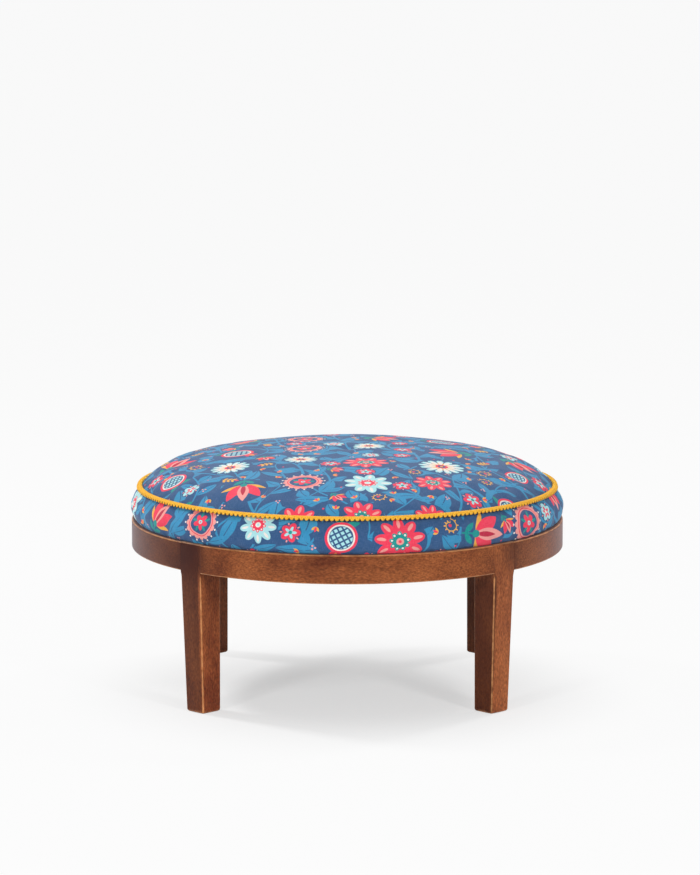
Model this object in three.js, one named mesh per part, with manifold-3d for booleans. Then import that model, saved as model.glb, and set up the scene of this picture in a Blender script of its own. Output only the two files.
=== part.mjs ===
// Round upholstered footstool. A hardwood ring of four curved rails runs between
// the heads of four square tapered legs. A crowned cushion on a plywood board is
// screwed down onto the ring from below through four corner blocks.
// Millimetres, +Z up, origin on the floor under the middle of the ring.
import * as THREE from "three";
import { mergeVertices } from "three/addons/utils/BufferGeometryUtils.js";
import Module from "manifold-3d";

const wasm = await Module();
wasm.setup();

// Clearances
const fitGap = 0.3;
const boreEndGap = 0.5;
const cutOverrun = 4;

// Ring of rails
const ringRadius = 350;
const railHeight = 46;
const railThickness = 28;
const railOuterEase = 2.5;
const railInnerEase = 1;
const railUnderside = 227;

// Legs
const legHeadWidth = 45;
const legHeadDepth = 45;
const legFootWidth = 38.5;
const legFootDepth = 38.5;
const legFootInset = 8.5;
const legArrisRadius = 2.5;
const legArrisFade = 9;
const legFootEase = 1.8;
const jointArris = 0.2;

// Dowels between the leg heads and the rails
const dowelDiameter = 8;
const dowelLength = 38;
const dowelChamfer = 1;
const dowelEdgeDistance = 13;

// Corner blocks
const blockHeight = 26;
const blockDepth = 47;
const blockHalfLength = 75;
const blockTopDrop = 1;

// Screws
const screwShankDiameter = 4;
const screwHeadDiameter = 9;
const screwHeadHeight = 2.8;
const screwHeadCrown = 0.9;
const screwPointLength = 6;
const boardScrewLength = 38;
const boardScrewSpacing = 92;
const legScrewLength = 50;

// Cushion form: seam ring, crown above it and bulging side below it
const sideDepth = 54;
const seamSetBack = 16;
const footSetBack = 5;
const crownHeight = 58;
const crownSpanPower = 2.5;
const crownRisePower = 0.6;
const sideBulge = 10.3;
const bulgePower = 0.75;
const sideCorner = 3;

// Layers of the cushion
const clothThickness = 1.2;
const paddingSlack = 0.8;
const waddingThickness = 6;
const seamAllowance = 5.5;
const clothTuckWidth = 30;
const boardThickness = 15;
const boardEase = 1.5;
const dustCoverThickness = 0.8;

// Braid in the seam
const braidTapeThickness = 1;
const braidRollWidth = 8.2;
const braidRollHeight = 7.6;
const braidRollLift = 2;
const braidRollStandOff = 0.5;
const braidRollStartTurn = -1.4;
const braidRollSweepTurn = 3.2;

// Counts of facets and of repeated pieces
const legCount = 4;
const ringSegments = 72;
const cushionSegments = 60;
const outerFaceSteps = 4;
const arrisSteps = 2;
const dowelSides = 10;
const screwSides = 10;
const braidRollSteps = 8;

// Positions along the crown, as shares of the seam radius, for cloth and for padding
const crownShares = [0, 0.3, 0.55, 0.75, 0.87, 0.94, 0.98, 1];
const paddingCrownShares = [0, 0.55, 0.87, 0.98, 1];
const sideShares = [0, 1 / 6, 2 / 6, 3 / 6, 4 / 6, 5 / 6, 1];
const paddingSideShares = [0, 2 / 6, 4 / 6, 1];

// Sizes that follow from the ones above
const railTop = railUnderside + railHeight;
const ringInnerRadius = ringRadius - railThickness;
const jointOffset = legHeadWidth / 2 + fitGap;
const legInnerFace = ringRadius - legHeadDepth;
const dowelRadius = dowelDiameter / 2;
const dowelCentreRadius = ringRadius - railThickness / 2;
const dowelHeights = [railUnderside + dowelEdgeDistance, railTop - dowelEdgeDistance];
const blockTop = railTop - blockTopDrop;
const blockBottom = blockTop - blockHeight;
const ringInnerFlat = ringInnerRadius * Math.cos(Math.PI / ringSegments);
const blockOuterRadius = ringInnerFlat - fitGap;
const blockInnerFace = blockOuterRadius - blockDepth;
const screwRadius = screwShankDiameter / 2;
const boardScrewRadius = (blockInnerFace + legInnerFace) / 2;
const legScrewHeight = (blockTop + blockBottom) / 2;
const seamRadius = ringRadius - seamSetBack;
const seamHeight = railTop + sideDepth;
const sideFootRadius = ringRadius - footSetBack;
const clothBottom = railTop + fitGap;
const boardBottom = clothBottom + clothThickness + fitGap;
const boardTop = boardBottom + boardThickness;
const crownBase = seamHeight + braidTapeThickness / 2 + fitGap;
const sideTop = seamHeight - braidTapeThickness / 2 - fitGap;
const paddingRise = clothThickness + fitGap;
const waddingOuterInset = clothThickness + paddingSlack;
const waddingInnerInset = waddingOuterInset + waddingThickness;
const foamInset = waddingInnerInset + fitGap;
const foamBottom = boardTop + fitGap;
const tuckRadius = sideFootRadius - clothTuckWidth;
const seamInnerRadius = seamRadius - seamAllowance;
const quarterTurn = Math.PI / 2;

// Materials
const finish = (color, roughness, metalness = 0) =>
  new THREE.MeshStandardMaterial({ color, roughness, metalness });
const walnutStain = finish(0x7a452b, 0.42);
const paleBeech = finish(0xc9a678, 0.7);
const birchPly = finish(0xcfae82, 0.75);
const printedCotton = finish(0x34588c, 0.9);
const yellowBraid = finish(0xf5a524, 0.85);
const creamFoam = finish(0xe9dfb8, 0.95);
const whiteWadding = finish(0xf1efe9, 1);
const blackCambric = finish(0x17171a, 0.95);
const zincSteel = finish(0xb9bcc0, 0.35, 0.9);

// A closed geometry as a solid that can be cut and joined.
function solidOf(geometry) {
  const bare = geometry.index ? geometry.toNonIndexed() : geometry.clone();
  bare.deleteAttribute("normal");
  bare.deleteAttribute("uv");
  const merged = mergeVertices(bare, 1e-4);
  const mesh = new wasm.Mesh({
    numProp: 3,
    vertProperties: Float32Array.from(merged.attributes.position.array),
    triVerts: Uint32Array.from(merged.index.array),
  });
  return new wasm.Manifold(mesh);
}

// A solid turned back into a geometry with its own flat normals.
function geometryOf(solid) {
  const { vertProperties, triVerts, numProp } = solid.getMesh();
  const positions = new Float32Array((vertProperties.length / numProp) * 3);
  for (let i = 0; i * numProp < vertProperties.length; i++) {
    positions.set(vertProperties.subarray(i * numProp, i * numProp + 3), i * 3);
  }
  const shared = new THREE.BufferGeometry();
  shared.setAttribute("position", new THREE.BufferAttribute(positions, 3));
  shared.setIndex(new THREE.BufferAttribute(Uint32Array.from(triVerts), 1));
  const flat = shared.toNonIndexed();
  flat.computeVertexNormals();
  return flat;
}

// A solid of revolution about Z from [radius, height] points, lowest point first.
function revolve(profile, segments) {
  const points = profile.map(([radius, height]) => new THREE.Vector2(radius, height));
  const geometry = new THREE.LatheGeometry(points, segments);
  geometry.rotateX(quarterTurn);
  return geometry;
}

// A round bar from a point along one axis, for bores.
function barAlong(axis, start, length, radius, sides) {
  const bar = new THREE.CylinderGeometry(radius, radius, length, sides);
  bar.translate(0, length / 2, 0);
  const direction = new THREE.Vector3(...axis);
  const turn = new THREE.Quaternion();
  turn.setFromUnitVectors(new THREE.Vector3(0, 1, 0), direction);
  bar.applyQuaternion(turn);
  bar.translate(...start);
  return solidOf(bar);
}

// A closed skin through rings of points that have the same count, capped flat.
function loft(rings) {
  const count = rings[0].length;
  const corners = rings.flat();
  const faces = [];
  for (let level = 0; level + 1 < rings.length; level++) {
    for (let i = 0; i < count; i++) {
      const a = level * count + i;
      const b = level * count + ((i + 1) % count);
      faces.push(a, b, b + count, a, b + count, a + count);
    }
  }
  const last = (rings.length - 1) * count;
  for (let i = 1; i + 1 < count; i++) {
    faces.push(0, i + 1, i);
    faces.push(last, last + i, last + i + 1);
  }
  const geometry = new THREE.BufferGeometry();
  geometry.setAttribute("position", new THREE.Float32BufferAttribute(corners.flat(), 3));
  geometry.setIndex(faces);
  return geometry;
}

// Points of a quarter round between two directions, for an eased edge.
function quarterRound(centre, radius, startAngle, steps) {
  const points = [];
  for (let i = 0; i <= steps; i++) {
    const angle = startAngle + (quarterTurn * i) / steps;
    points.push([centre[0] + radius * Math.cos(angle), centre[1] + radius * Math.sin(angle)]);
  }
  return points;
}

// Frame: the pieces are made beside the leg that stands on +X.
function railProfile() {
  const outer = railOuterEase;
  const inner = railInnerEase;
  const low = [ringRadius - outer, railUnderside + outer];
  const high = [ringRadius - outer, railTop - outer];
  return [
    [ringInnerRadius, railUnderside + inner],
    [ringInnerRadius + inner, railUnderside],
    ...quarterRound(low, outer, -quarterTurn, arrisSteps),
    ...quarterRound(high, outer, 0, arrisSteps),
    [ringInnerRadius + inner, railTop],
    [ringInnerRadius, railTop - inner],
    [ringInnerRadius, railUnderside + inner],
  ];
}

function dowelBore(axis, across) {
  const length = dowelLength + 2 * boreEndGap;
  const middle = legHeadWidth / 2 + fitGap / 2;
  return dowelHeights.map((height) => {
    const from = middle - length / 2;
    const start = axis[0] ? [from, across, height] : [across, axis[1] * from, height];
    return barAlong(axis, start, length, dowelRadius + fitGap, dowelSides);
  });
}

function makeRail() {
  const ring = solidOf(revolve(railProfile(), ringSegments));
  const span = ringRadius + cutOverrun;
  const quadrant = new THREE.BoxGeometry(span, span, railHeight + 2 * cutOverrun);
  const centre = jointOffset + span / 2;
  quadrant.translate(centre, centre, (railUnderside + railTop) / 2);
  let rail = ring.intersect(solidOf(quadrant));
  const bores = [
    ...dowelBore([0, 1, 0], dowelCentreRadius),
    ...dowelBore([1, 0, 0], dowelCentreRadius),
  ];
  for (const bore of bores) {
    rail = rail.subtract(bore);
  }
  return geometryOf(rail);
}

// One level of a leg: a square section whose outer face follows the ring's curve.
function legSection({ height, outerFace, width, depth, arris, easeIn = 0 }) {
  const halfWidth = width / 2 - easeIn;
  const nearFace = easeIn;
  const farFace = depth - easeIn;
  const corner = (depthAt, acrossAt, startAngle) =>
    quarterRound([depthAt, acrossAt], arris, startAngle, arrisSteps);
  const outline = [
    ...corner(nearFace + arris, arris - halfWidth, -2 * quarterTurn),
    ...corner(farFace - arris, arris - halfWidth, -quarterTurn),
    ...corner(farFace - arris, halfWidth - arris, 0),
    ...corner(nearFace + arris, halfWidth - arris, quarterTurn),
  ];
  for (let i = 1; i < outerFaceSteps; i++) {
    outline.push([nearFace, (halfWidth - arris) * (1 - (2 * i) / outerFaceSteps)]);
  }
  return outline
    .map(([depthAt, across]) => {
      const sagitta = ringRadius - Math.sqrt(ringRadius ** 2 - across ** 2);
      const bend = sagitta * (1 - depthAt / depth);
      return [outerFace - depthAt - bend, across, height];
    })
    .reverse();
}

function legLevel(height, arris, easeIn = 0) {
  const taper = Math.max(0, 1 - height / railUnderside);
  return legSection({
    height,
    outerFace: ringRadius - legFootInset * taper,
    width: legHeadWidth + (legFootWidth - legHeadWidth) * taper,
    depth: legHeadDepth + (legFootDepth - legHeadDepth) * taper,
    arris,
    easeIn,
  });
}

// The head's top edge is eased only where it meets the ring's outer face.
function easedHeadLevel() {
  return legLevel(railTop, jointArris).map(([x, y, z]) => {
    const limit = ringRadius - railOuterEase;
    const reach = Math.hypot(x, y);
    return reach > limit ? [(x * limit) / reach, (y * limit) / reach, z] : [x, y, z];
  });
}

function makeLeg() {
  let leg = solidOf(
    loft([
      legLevel(0, legArrisRadius, legFootEase),
      legLevel(legFootEase, legArrisRadius),
      legLevel(railUnderside - legArrisFade, legArrisRadius),
      legLevel(railUnderside, jointArris),
      legLevel(railTop - railOuterEase, jointArris),
      easedHeadLevel(),
    ]),
  );
  const screwBoreStart = [legInnerFace - cutOverrun, 0, legScrewHeight];
  const screwTip = blockInnerFace + legScrewLength;
  const screwBoreLength = screwTip + boreEndGap - screwBoreStart[0];
  const bores = [
    ...dowelBore([0, 1, 0], dowelCentreRadius),
    ...dowelBore([0, -1, 0], dowelCentreRadius),
    barAlong([1, 0, 0], screwBoreStart, screwBoreLength, screwRadius + fitGap, screwSides),
  ];
  for (const bore of bores) {
    leg = leg.subtract(bore);
  }
  return geometryOf(leg);
}

function makeDowel() {
  const half = dowelLength / 2;
  const profile = [
    [0, -half],
    [dowelRadius - dowelChamfer, -half],
    [dowelRadius, dowelChamfer - half],
    [dowelRadius, half - dowelChamfer],
    [dowelRadius - dowelChamfer, half],
    [0, half],
  ];
  return revolve(profile, dowelSides);
}

// A block that wraps round the back of a leg head and lies along the ring's inside.
function makeCornerBlock() {
  const outline = new THREE.Shape();
  const endAngle = Math.asin(blockHalfLength / blockOuterRadius);
  const notchAngle = Math.asin(jointOffset / blockOuterRadius);
  const notchFace = legInnerFace - fitGap;
  outline.moveTo(blockInnerFace, blockHalfLength);
  outline.lineTo(blockInnerFace, -blockHalfLength);
  outline.absarc(0, 0, blockOuterRadius, -endAngle, -notchAngle, false);
  outline.lineTo(notchFace, -jointOffset);
  outline.lineTo(notchFace, jointOffset);
  outline.absarc(0, 0, blockOuterRadius, notchAngle, endAngle, false);
  const body = new THREE.ExtrudeGeometry(outline, {
    depth: blockHeight,
    bevelEnabled: false,
    curveSegments: outerFaceSteps,
  });
  body.translate(0, 0, blockBottom);
  const boreRadius = screwRadius + fitGap;
  const throughHeight = blockHeight + 2 * cutOverrun;
  const throughDepth = blockDepth + 2 * cutOverrun;
  const boreBottom = blockBottom - cutOverrun;
  const boreFront = blockInnerFace - cutOverrun;
  let block = solidOf(body).subtract(
    barAlong([1, 0, 0], [boreFront, 0, legScrewHeight], throughDepth, boreRadius, screwSides),
  );
  for (const side of [-1, 1]) {
    const start = [boardScrewRadius, (side * boardScrewSpacing) / 2, boreBottom];
    block = block.subtract(barAlong([0, 0, 1], start, throughHeight, boreRadius, screwSides));
  }
  return geometryOf(block);
}

// A screw that points along +Z, with the underside of its head at zero.
function makeScrew(length) {
  const headRadius = screwHeadDiameter / 2;
  const profile = [
    [0, -screwHeadHeight],
    [headRadius - screwHeadCrown, -screwHeadHeight],
    [headRadius, screwHeadCrown - screwHeadHeight],
    [headRadius, 0],
    [screwRadius, 0],
    [screwRadius, length - screwPointLength],
    [0, length],
  ];
  return revolve(profile, screwSides);
}

// Cushion: each layer has the cover's outer form, set in by its own distance and
// starting its own rise above the seam.
function crownCurve(inset, baseRise, shares) {
  const radius = seamRadius - inset;
  const rise = crownHeight - baseRise - inset;
  return shares.map((share) => {
    const fall = Math.pow(1 - Math.pow(share, crownSpanPower), crownRisePower);
    return [radius * share, crownBase + baseRise + rise * fall];
  });
}

// The side from the seam down to where it turns in under the cushion.
function sideCurve(inset, shares) {
  const top = sideTop - inset;
  const bottom = clothBottom + inset + sideCorner;
  return shares.map((share) => {
    const swell = sideBulge * Math.pow(Math.sin(Math.PI * Math.min(share, 1)), bulgePower);
    const radius = seamRadius + (sideFootRadius - seamRadius) * share - inset;
    return [radius + (share < 1 ? swell : 0), top + (bottom - top) * share];
  });
}

function makeTopCover() {
  const inner = crownCurve(clothThickness, clothThickness, crownShares);
  const outer = crownCurve(0, 0, crownShares).reverse();
  return revolve(
    [
      ...inner,
      [seamInnerRadius, crownBase + clothThickness],
      [seamInnerRadius, crownBase],
      ...outer,
    ],
    cushionSegments,
  );
}

function makeSideCover() {
  const outer = sideCurve(0, sideShares).reverse();
  const inner = sideCurve(clothThickness, sideShares);
  const foot = sideFootRadius - sideCorner;
  return revolve(
    [
      [tuckRadius, clothBottom],
      [foot, clothBottom],
      ...outer,
      [seamInnerRadius, sideTop],
      [seamInnerRadius, sideTop - clothThickness],
      ...inner,
      [foot - clothThickness, clothBottom + clothThickness],
      [tuckRadius, clothBottom + clothThickness],
      [tuckRadius, clothBottom],
    ],
    cushionSegments,
  );
}

// The side of the padding, which runs down to the underside of the board.
function paddingSide(inset) {
  const points = sideCurve(inset, paddingSideShares).slice(0, -1);
  return [...points, [sideFootRadius - inset, boardBottom]];
}

// The radius of a side at one height, between the points that it runs through.
function radiusAt(side, height) {
  const below = Math.max(1, side.findIndex(([, z]) => z <= height));
  const [lowRadius, lowHeight] = side[below];
  const [highRadius, highHeight] = side[below - 1];
  const share = (height - lowHeight) / (highHeight - lowHeight);
  return lowRadius + (highRadius - lowRadius) * share;
}

// Padding wraps the foam and the board's edge, and is nipped in by the seam.
function makeWadding() {
  const outerSide = sideCurve(waddingOuterInset, paddingSideShares).reverse();
  const innerSide = paddingSide(waddingInnerInset);
  const outerCrown = crownCurve(waddingOuterInset, paddingRise, paddingCrownShares);
  const innerCrown = crownCurve(waddingInnerInset, paddingRise, paddingCrownShares);
  const nip = seamInnerRadius - fitGap;
  const cornerRadius = sideFootRadius - waddingOuterInset - sideCorner;
  return revolve(
    [
      ...innerCrown,
      ...innerSide,
      [cornerRadius, boardBottom],
      ...outerSide,
      [nip, sideTop - waddingOuterInset],
      [nip, crownBase + paddingRise],
      ...outerCrown.reverse(),
    ],
    cushionSegments,
  );
}

function makeFoamCore() {
  const wholeSide = paddingSide(foamInset);
  const side = wholeSide.filter(([, z]) => z > foamBottom);
  const foot = radiusAt(wholeSide, foamBottom);
  const crown = crownCurve(foamInset, paddingRise, paddingCrownShares);
  return revolve(
    [[0, foamBottom], [foot, foamBottom], ...side.reverse(), ...crown.reverse()],
    cushionSegments,
  );
}

// The board fits inside the padding at its top and bottom edges.
function makeSeatBoard(screwBores) {
  const padding = paddingSide(foamInset);
  const boardRadius = Math.min(radiusAt(padding, boardBottom), radiusAt(padding, boardTop));
  const profile = [
    [0, boardBottom],
    [boardRadius - boardEase, boardBottom],
    [boardRadius, boardBottom + boardEase],
    [boardRadius, boardTop - boardEase],
    [boardRadius - boardEase, boardTop],
    [0, boardTop],
  ];
  let board = solidOf(revolve(profile, cushionSegments));
  for (const bore of screwBores) {
    board = board.subtract(bore);
  }
  return geometryOf(board);
}

function makeDustCover(screwBores) {
  const top = boardBottom - fitGap;
  const bottom = top - dustCoverThickness;
  const rim = tuckRadius - fitGap;
  const profile = [[0, bottom], [rim, bottom], [rim, top], [0, top]];
  let sheet = solidOf(revolve(profile, cushionSegments));
  for (const bore of screwBores) {
    sheet = sheet.subtract(bore);
  }
  return geometryOf(sheet);
}

// A braid whose tape lies in the seam and whose roll stands just above and outside it.
function makeTrimBraid() {
  const tapeBottom = seamHeight - braidTapeThickness / 2;
  const tapeTop = seamHeight + braidTapeThickness / 2;
  const halfWidth = braidRollWidth / 2;
  const halfHeight = braidRollHeight / 2;
  const centre = [seamRadius + braidRollStandOff + halfWidth, seamHeight + braidRollLift];
  const roll = [];
  for (let i = 0; i <= braidRollSteps; i++) {
    const angle = quarterTurn * (braidRollStartTurn + (braidRollSweepTurn * i) / braidRollSteps);
    const radius = centre[0] + halfWidth * Math.cos(angle);
    roll.push([radius, centre[1] + halfHeight * Math.sin(angle)]);
  }
  return revolve(
    [
      [seamInnerRadius, tapeBottom],
      [seamRadius + braidRollStandOff, tapeBottom],
      ...roll,
      [seamRadius + fitGap, tapeTop],
      [seamInnerRadius, tapeTop],
      [seamInnerRadius, tapeBottom],
    ],
    cushionSegments,
  );
}

// Assembly: the legs stand on the diagonals, so the frame is turned by half a quarter.
const footstool = new THREE.Group();
const frame = new THREE.Group();
frame.rotation.z = quarterTurn / 2;
footstool.add(frame);

function place(parent, name, geometry, material) {
  const mesh = new THREE.Mesh(geometry, material);
  mesh.name = name;
  parent.add(mesh);
  return mesh;
}

const legGeometry = makeLeg();
const railGeometry = makeRail();
const dowelGeometry = makeDowel();
const blockGeometry = makeCornerBlock();
const boardScrewGeometry = makeScrew(boardScrewLength);
const legScrewGeometry = makeScrew(legScrewLength);
const cornerNames = ["rear_right", "rear_left", "front_left", "front_right"];
const railNames = ["rear_rail", "left_rail", "front_rail", "right_rail"];
const screwBores = [];

for (let i = 0; i < legCount; i++) {
  const corner = new THREE.Group();
  corner.rotation.z = quarterTurn * i;
  frame.add(corner);
  const name = cornerNames[i];
  place(corner, `${name}_leg`, legGeometry, walnutStain);
  place(corner, railNames[i], railGeometry, walnutStain);
  place(corner, `${name}_corner_block`, blockGeometry, paleBeech);
  for (const [side, sideName] of [[-1, "right"], [1, "left"]]) {
    dowelHeights.forEach((height, level) => {
      const dowelName = `${name}_${sideName}_${level ? "upper" : "lower"}_dowel`;
      const dowel = place(corner, dowelName, dowelGeometry, paleBeech);
      dowel.rotation.x = quarterTurn;
      dowel.position.set(dowelCentreRadius, side * (jointOffset - fitGap / 2), height);
    });
    const screwName = `${name}_${sideName}_board_screw`;
    const screw = place(corner, screwName, boardScrewGeometry, zincSteel);
    screw.position.set(boardScrewRadius, (side * boardScrewSpacing) / 2, blockBottom);
    footstool.updateMatrixWorld(true);
    const foot = screw.getWorldPosition(new THREE.Vector3());
    const boreLength = boardScrewLength + boreEndGap;
    screwBores.push(
      barAlong([0, 0, 1], foot.toArray(), boreLength, screwRadius + fitGap, screwSides),
    );
  }
  const legScrew = place(corner, `${name}_leg_screw`, legScrewGeometry, zincSteel);
  legScrew.rotation.y = quarterTurn;
  legScrew.position.set(blockInnerFace, 0, legScrewHeight);
}

place(footstool, "dust_cover", makeDustCover(screwBores), blackCambric);
place(footstool, "seat_board", makeSeatBoard(screwBores), birchPly);
place(footstool, "foam_core", makeFoamCore(), creamFoam);
place(footstool, "wadding", makeWadding(), whiteWadding);
place(footstool, "side_cover", makeSideCover(), printedCotton);
place(footstool, "trim_braid", makeTrimBraid(), yellowBraid);
place(footstool, "top_cover", makeTopCover(), printedCotton);

export default footstool;
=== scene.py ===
# %% [markdown]
# # A round tuffet with a printed cushion
#
# The imported model is a ring of four curved rails between four square legs, with a crowned
# cushion on top. It comes in as a fixed frame: nothing in it is moved or reshaped. This
# lesson gives every part of it a finish, and makes finer pieces where the imported solids are
# only plain: the wood with its eased edges, the padded cloth, and the scalloped braid.

# %% Load the imported frame
import math

import bmesh
import bpy
import numpy as np
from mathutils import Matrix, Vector, noise


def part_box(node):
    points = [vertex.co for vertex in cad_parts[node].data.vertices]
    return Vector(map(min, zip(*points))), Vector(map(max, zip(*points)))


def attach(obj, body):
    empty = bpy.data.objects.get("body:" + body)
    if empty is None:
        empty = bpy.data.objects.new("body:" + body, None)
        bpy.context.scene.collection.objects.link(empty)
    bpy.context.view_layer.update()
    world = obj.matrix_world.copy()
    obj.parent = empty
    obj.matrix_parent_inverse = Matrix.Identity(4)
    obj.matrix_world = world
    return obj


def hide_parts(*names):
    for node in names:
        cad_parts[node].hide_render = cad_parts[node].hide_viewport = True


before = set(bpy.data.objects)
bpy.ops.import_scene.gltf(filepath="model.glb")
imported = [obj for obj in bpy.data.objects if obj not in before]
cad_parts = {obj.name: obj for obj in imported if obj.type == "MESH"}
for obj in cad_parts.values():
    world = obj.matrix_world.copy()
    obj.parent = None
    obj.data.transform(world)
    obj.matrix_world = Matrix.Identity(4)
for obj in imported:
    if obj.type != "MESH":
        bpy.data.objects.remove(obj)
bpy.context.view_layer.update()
print("packed nodes:", len(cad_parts))

# %% [markdown]
# ## The camera
#
# A photograph's angle can be found by measuring it: the ring is a circle, so the flatness of
# the ellipse that it makes in the picture gives the camera's height, and the difference
# between its near and far halves gives the distance. A long lens from far away and slightly
# above is what such catalogue pictures use, and a long lens keeps the ellipse even.

# %% Camera
camera_distance = 7.189
camera_height = 1.547
camera_tilt = 0.1579
camera_turn = -0.0006
sensor_width = 36
picture_height = 875
lens_in_pixels = 4489.6
farthest_seen = 100

camera_data = bpy.data.cameras.new("camera")
camera_data.sensor_width = sensor_width
camera_data.lens = lens_in_pixels / picture_height * sensor_width
camera_data.clip_end = farthest_seen
camera = bpy.data.objects.new("camera", camera_data)
camera.location = (0, -camera_distance, camera_height)
camera.rotation_euler = (math.pi / 2 - camera_tilt, 0, camera_turn)
bpy.context.scene.collection.objects.link(camera)
bpy.context.scene.camera = camera
print("lens:", round(camera_data.lens, 1), "mm")

# %% [markdown]
# ## Sizes that the pieces share
#
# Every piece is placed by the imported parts. The ring's radius and heights, the legs' height
# and the cushion's seam are read from their boxes, and only what a box can't tell, such as
# the rounding of an edge, is written here. All lengths are in metres, so a millimetre gets a
# name of its own and a reader can still see the joiner's figures.

# %% Sizes from the frame
mm = 0.001
to_mm = 1000
ring_low, ring_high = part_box("front_rail")
ring_radius = -ring_low.y
ring_underside = ring_low.z
ring_top = ring_high.z
side_low, side_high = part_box("side_cover")
top_low, top_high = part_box("top_cover")
print("ring radius", round(ring_radius, 4), "from", round(ring_underside, 4), "to", round(ring_top, 4))
print("cushion from", round(side_low.z, 4), "to", round(top_high.z, 4))

# %% Sizes of the joinery
rail_thickness = 28 * mm
rail_outer_ease = 2.5 * mm
rail_inner_ease = 1 * mm
leg_head = 45 * mm
leg_foot = 38.5 * mm
leg_foot_inset = 8.5 * mm
leg_arris = 2.5 * mm
leg_foot_ease = 3.8 * mm
arris_fade = 9 * mm
joint_gap = 0.05 * mm
joint_arris = 0.15 * mm
ring_inner = ring_radius - rail_thickness

# %% [markdown]
# ## A skin through rows of points
#
# Rails, legs, cloth and braid are all one kind of surface: rows of points with the same
# count, joined by four-sided faces. Blender's own primitives could be pushed into shape, but
# a skin through computed rows gives even quads, puts points where an edge is rounded, and
# lets each point carry facts for its finish, such as which way the grain runs. Each finished
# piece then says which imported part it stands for, that it rides on the model's one body, and
# which finish it wears.

# %% Skin helper
def store(mesh, name, values):
    """Keeps a number or a vector for each point of a mesh, for the finish to read."""
    values = np.asarray(values, dtype=np.float32)
    kind, field = ("FLOAT_VECTOR", "vector") if values.ndim == 2 else ("FLOAT", "value")
    mesh.attributes.new(name, kind, "POINT").data.foreach_set(field, values.ravel())


def skin(name, rows, loop_columns=False, loop_rows=False, caps=False, facts=None):
    """An object through rows of points. Its rows, its columns or both may close on themselves."""
    rows = np.asarray(rows, dtype=float)
    points = rows.reshape(-1, 3)
    index = np.arange(len(points)).reshape(rows.shape[:2])
    ends = [index[0, ::-1].tolist(), index[-1].tolist()] if caps else []
    if loop_columns:
        index = np.concatenate([index, index[:, :1]], axis=1)
    if loop_rows:
        index = np.concatenate([index, index[:1]], axis=0)
    corners = [index[:-1, :-1], index[:-1, 1:], index[1:, 1:], index[1:, :-1]]
    faces = np.stack(corners, axis=-1).reshape(-1, 4).tolist() + ends
    mesh = bpy.data.meshes.new(name)
    mesh.from_pydata(points.tolist(), [], faces)
    for fact, values in (facts or {}).items():
        store(mesh, fact, np.asarray(values).reshape(len(points), -1).squeeze())
    work = bmesh.new()
    work.from_mesh(mesh)
    if caps or (loop_rows and loop_columns):
        bmesh.ops.recalc_face_normals(work, faces=work.faces)
    work.to_mesh(mesh)
    work.free()
    mesh.shade_smooth()
    piece = bpy.data.objects.new(name, mesh)
    bpy.context.scene.collection.objects.link(piece)
    return piece


# %% Say what a piece is
def stand_for(piece, finish_name, *nodes):
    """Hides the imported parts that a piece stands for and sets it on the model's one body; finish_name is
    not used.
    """
    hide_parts(*nodes)
    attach(piece, "root")
    return piece


# %% Measuring helpers
def about_axis(radius, azimuth, height):
    """Points round the tuffet's upright axis."""
    parts = np.broadcast_arrays(radius * np.cos(azimuth), radius * np.sin(azimuth), height)
    return np.stack(parts, axis=-1)


def way_along(line):
    """How far each point of a line is from the line's start."""
    steps = np.linalg.norm(np.diff(line, axis=0), axis=1)
    return np.concatenate([[0], np.cumsum(steps)])


# %% [markdown]
# ## Rounded sections
#
# A joiner cuts a rail or a leg square and then eases its edges with a plane or sandpaper.
# A bevel modifier would do the same, but the legs' edges fade out where they meet the ring,
# so the rounded rectangle is written out: quarter rounds at its corners, and a few points
# along each flat, with one close to each corner that keeps the flat looking flat. Each
# point also says how much it wears and how much painted highlight it gets, which is most at
# the middle of a rounding.

# %% Section helper
corner_steps = 6
flat_shares = (0.03, 0.12, 0.32, 0.5, 0.68, 0.88, 0.97)


def rounded_section(low, high, radii):
    """Points round a rectangle from its low corner, and the wear and painted highlight of each one."""
    corners = [(low[0], low[1], 1, 1), (high[0], low[1], -1, 1)]
    corners += [(high[0], high[1], -1, -1), (low[0], high[1], 1, -1)]
    arcs = []
    for turn, ((x, y, to_x, to_y), radius) in enumerate(zip(corners, radii)):
        angles = math.pi + (turn + np.linspace(0, 1, corner_steps + 1)) * math.pi / 2
        arc_x = x + radius * (to_x + np.cos(angles))
        arc_y = y + radius * (to_y + np.sin(angles))
        arcs.append(np.stack([arc_x, arc_y], axis=-1))
    points = []
    for arc, following in zip(arcs, arcs[1:] + arcs[:1]):
        points += list(arc)
        points += [arc[-1] + (following[0] - arc[-1]) * share for share in flat_shares]
    corner_wear_and_highlight = np.sin(np.linspace(0, math.pi, corner_steps + 1))
    wear_and_highlight = np.concatenate([corner_wear_and_highlight, np.zeros(len(flat_shares))])
    return np.array(points), np.tile(wear_and_highlight, len(arcs))


print("points round a section:", 4 * (corner_steps + 1 + len(flat_shares)))

# %% [markdown]
# ## Where the grain runs
#
# A curved rail of this kind is sawn from a straight board, so its grain runs straight
# through it and the curved face cuts across the growth rings. Coordinates along the board,
# kept on the points, let one wood finish do this truly: the rails' boards lie along their
# chords and the legs' boards stand upright. Each board is moved by its own amount, so that
# no two show the same figure.

# %% Grain helper
board_shift = np.array([1.7, 0.31, 0.47])
upwards = np.array([0.0, 0.0, 1.0])


def board_grain(points, along, across, board_number):
    """Each point's place in its straight board: along it, across it and through it."""
    axes = np.stack([along, across, np.cross(along, across)], axis=-1)
    return points @ axes + board_shift * board_number


def compass(azimuth):
    """The level direction at an azimuth, in radians from +X."""
    return np.array([math.cos(azimuth), math.sin(azimuth), 0.0])


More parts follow.
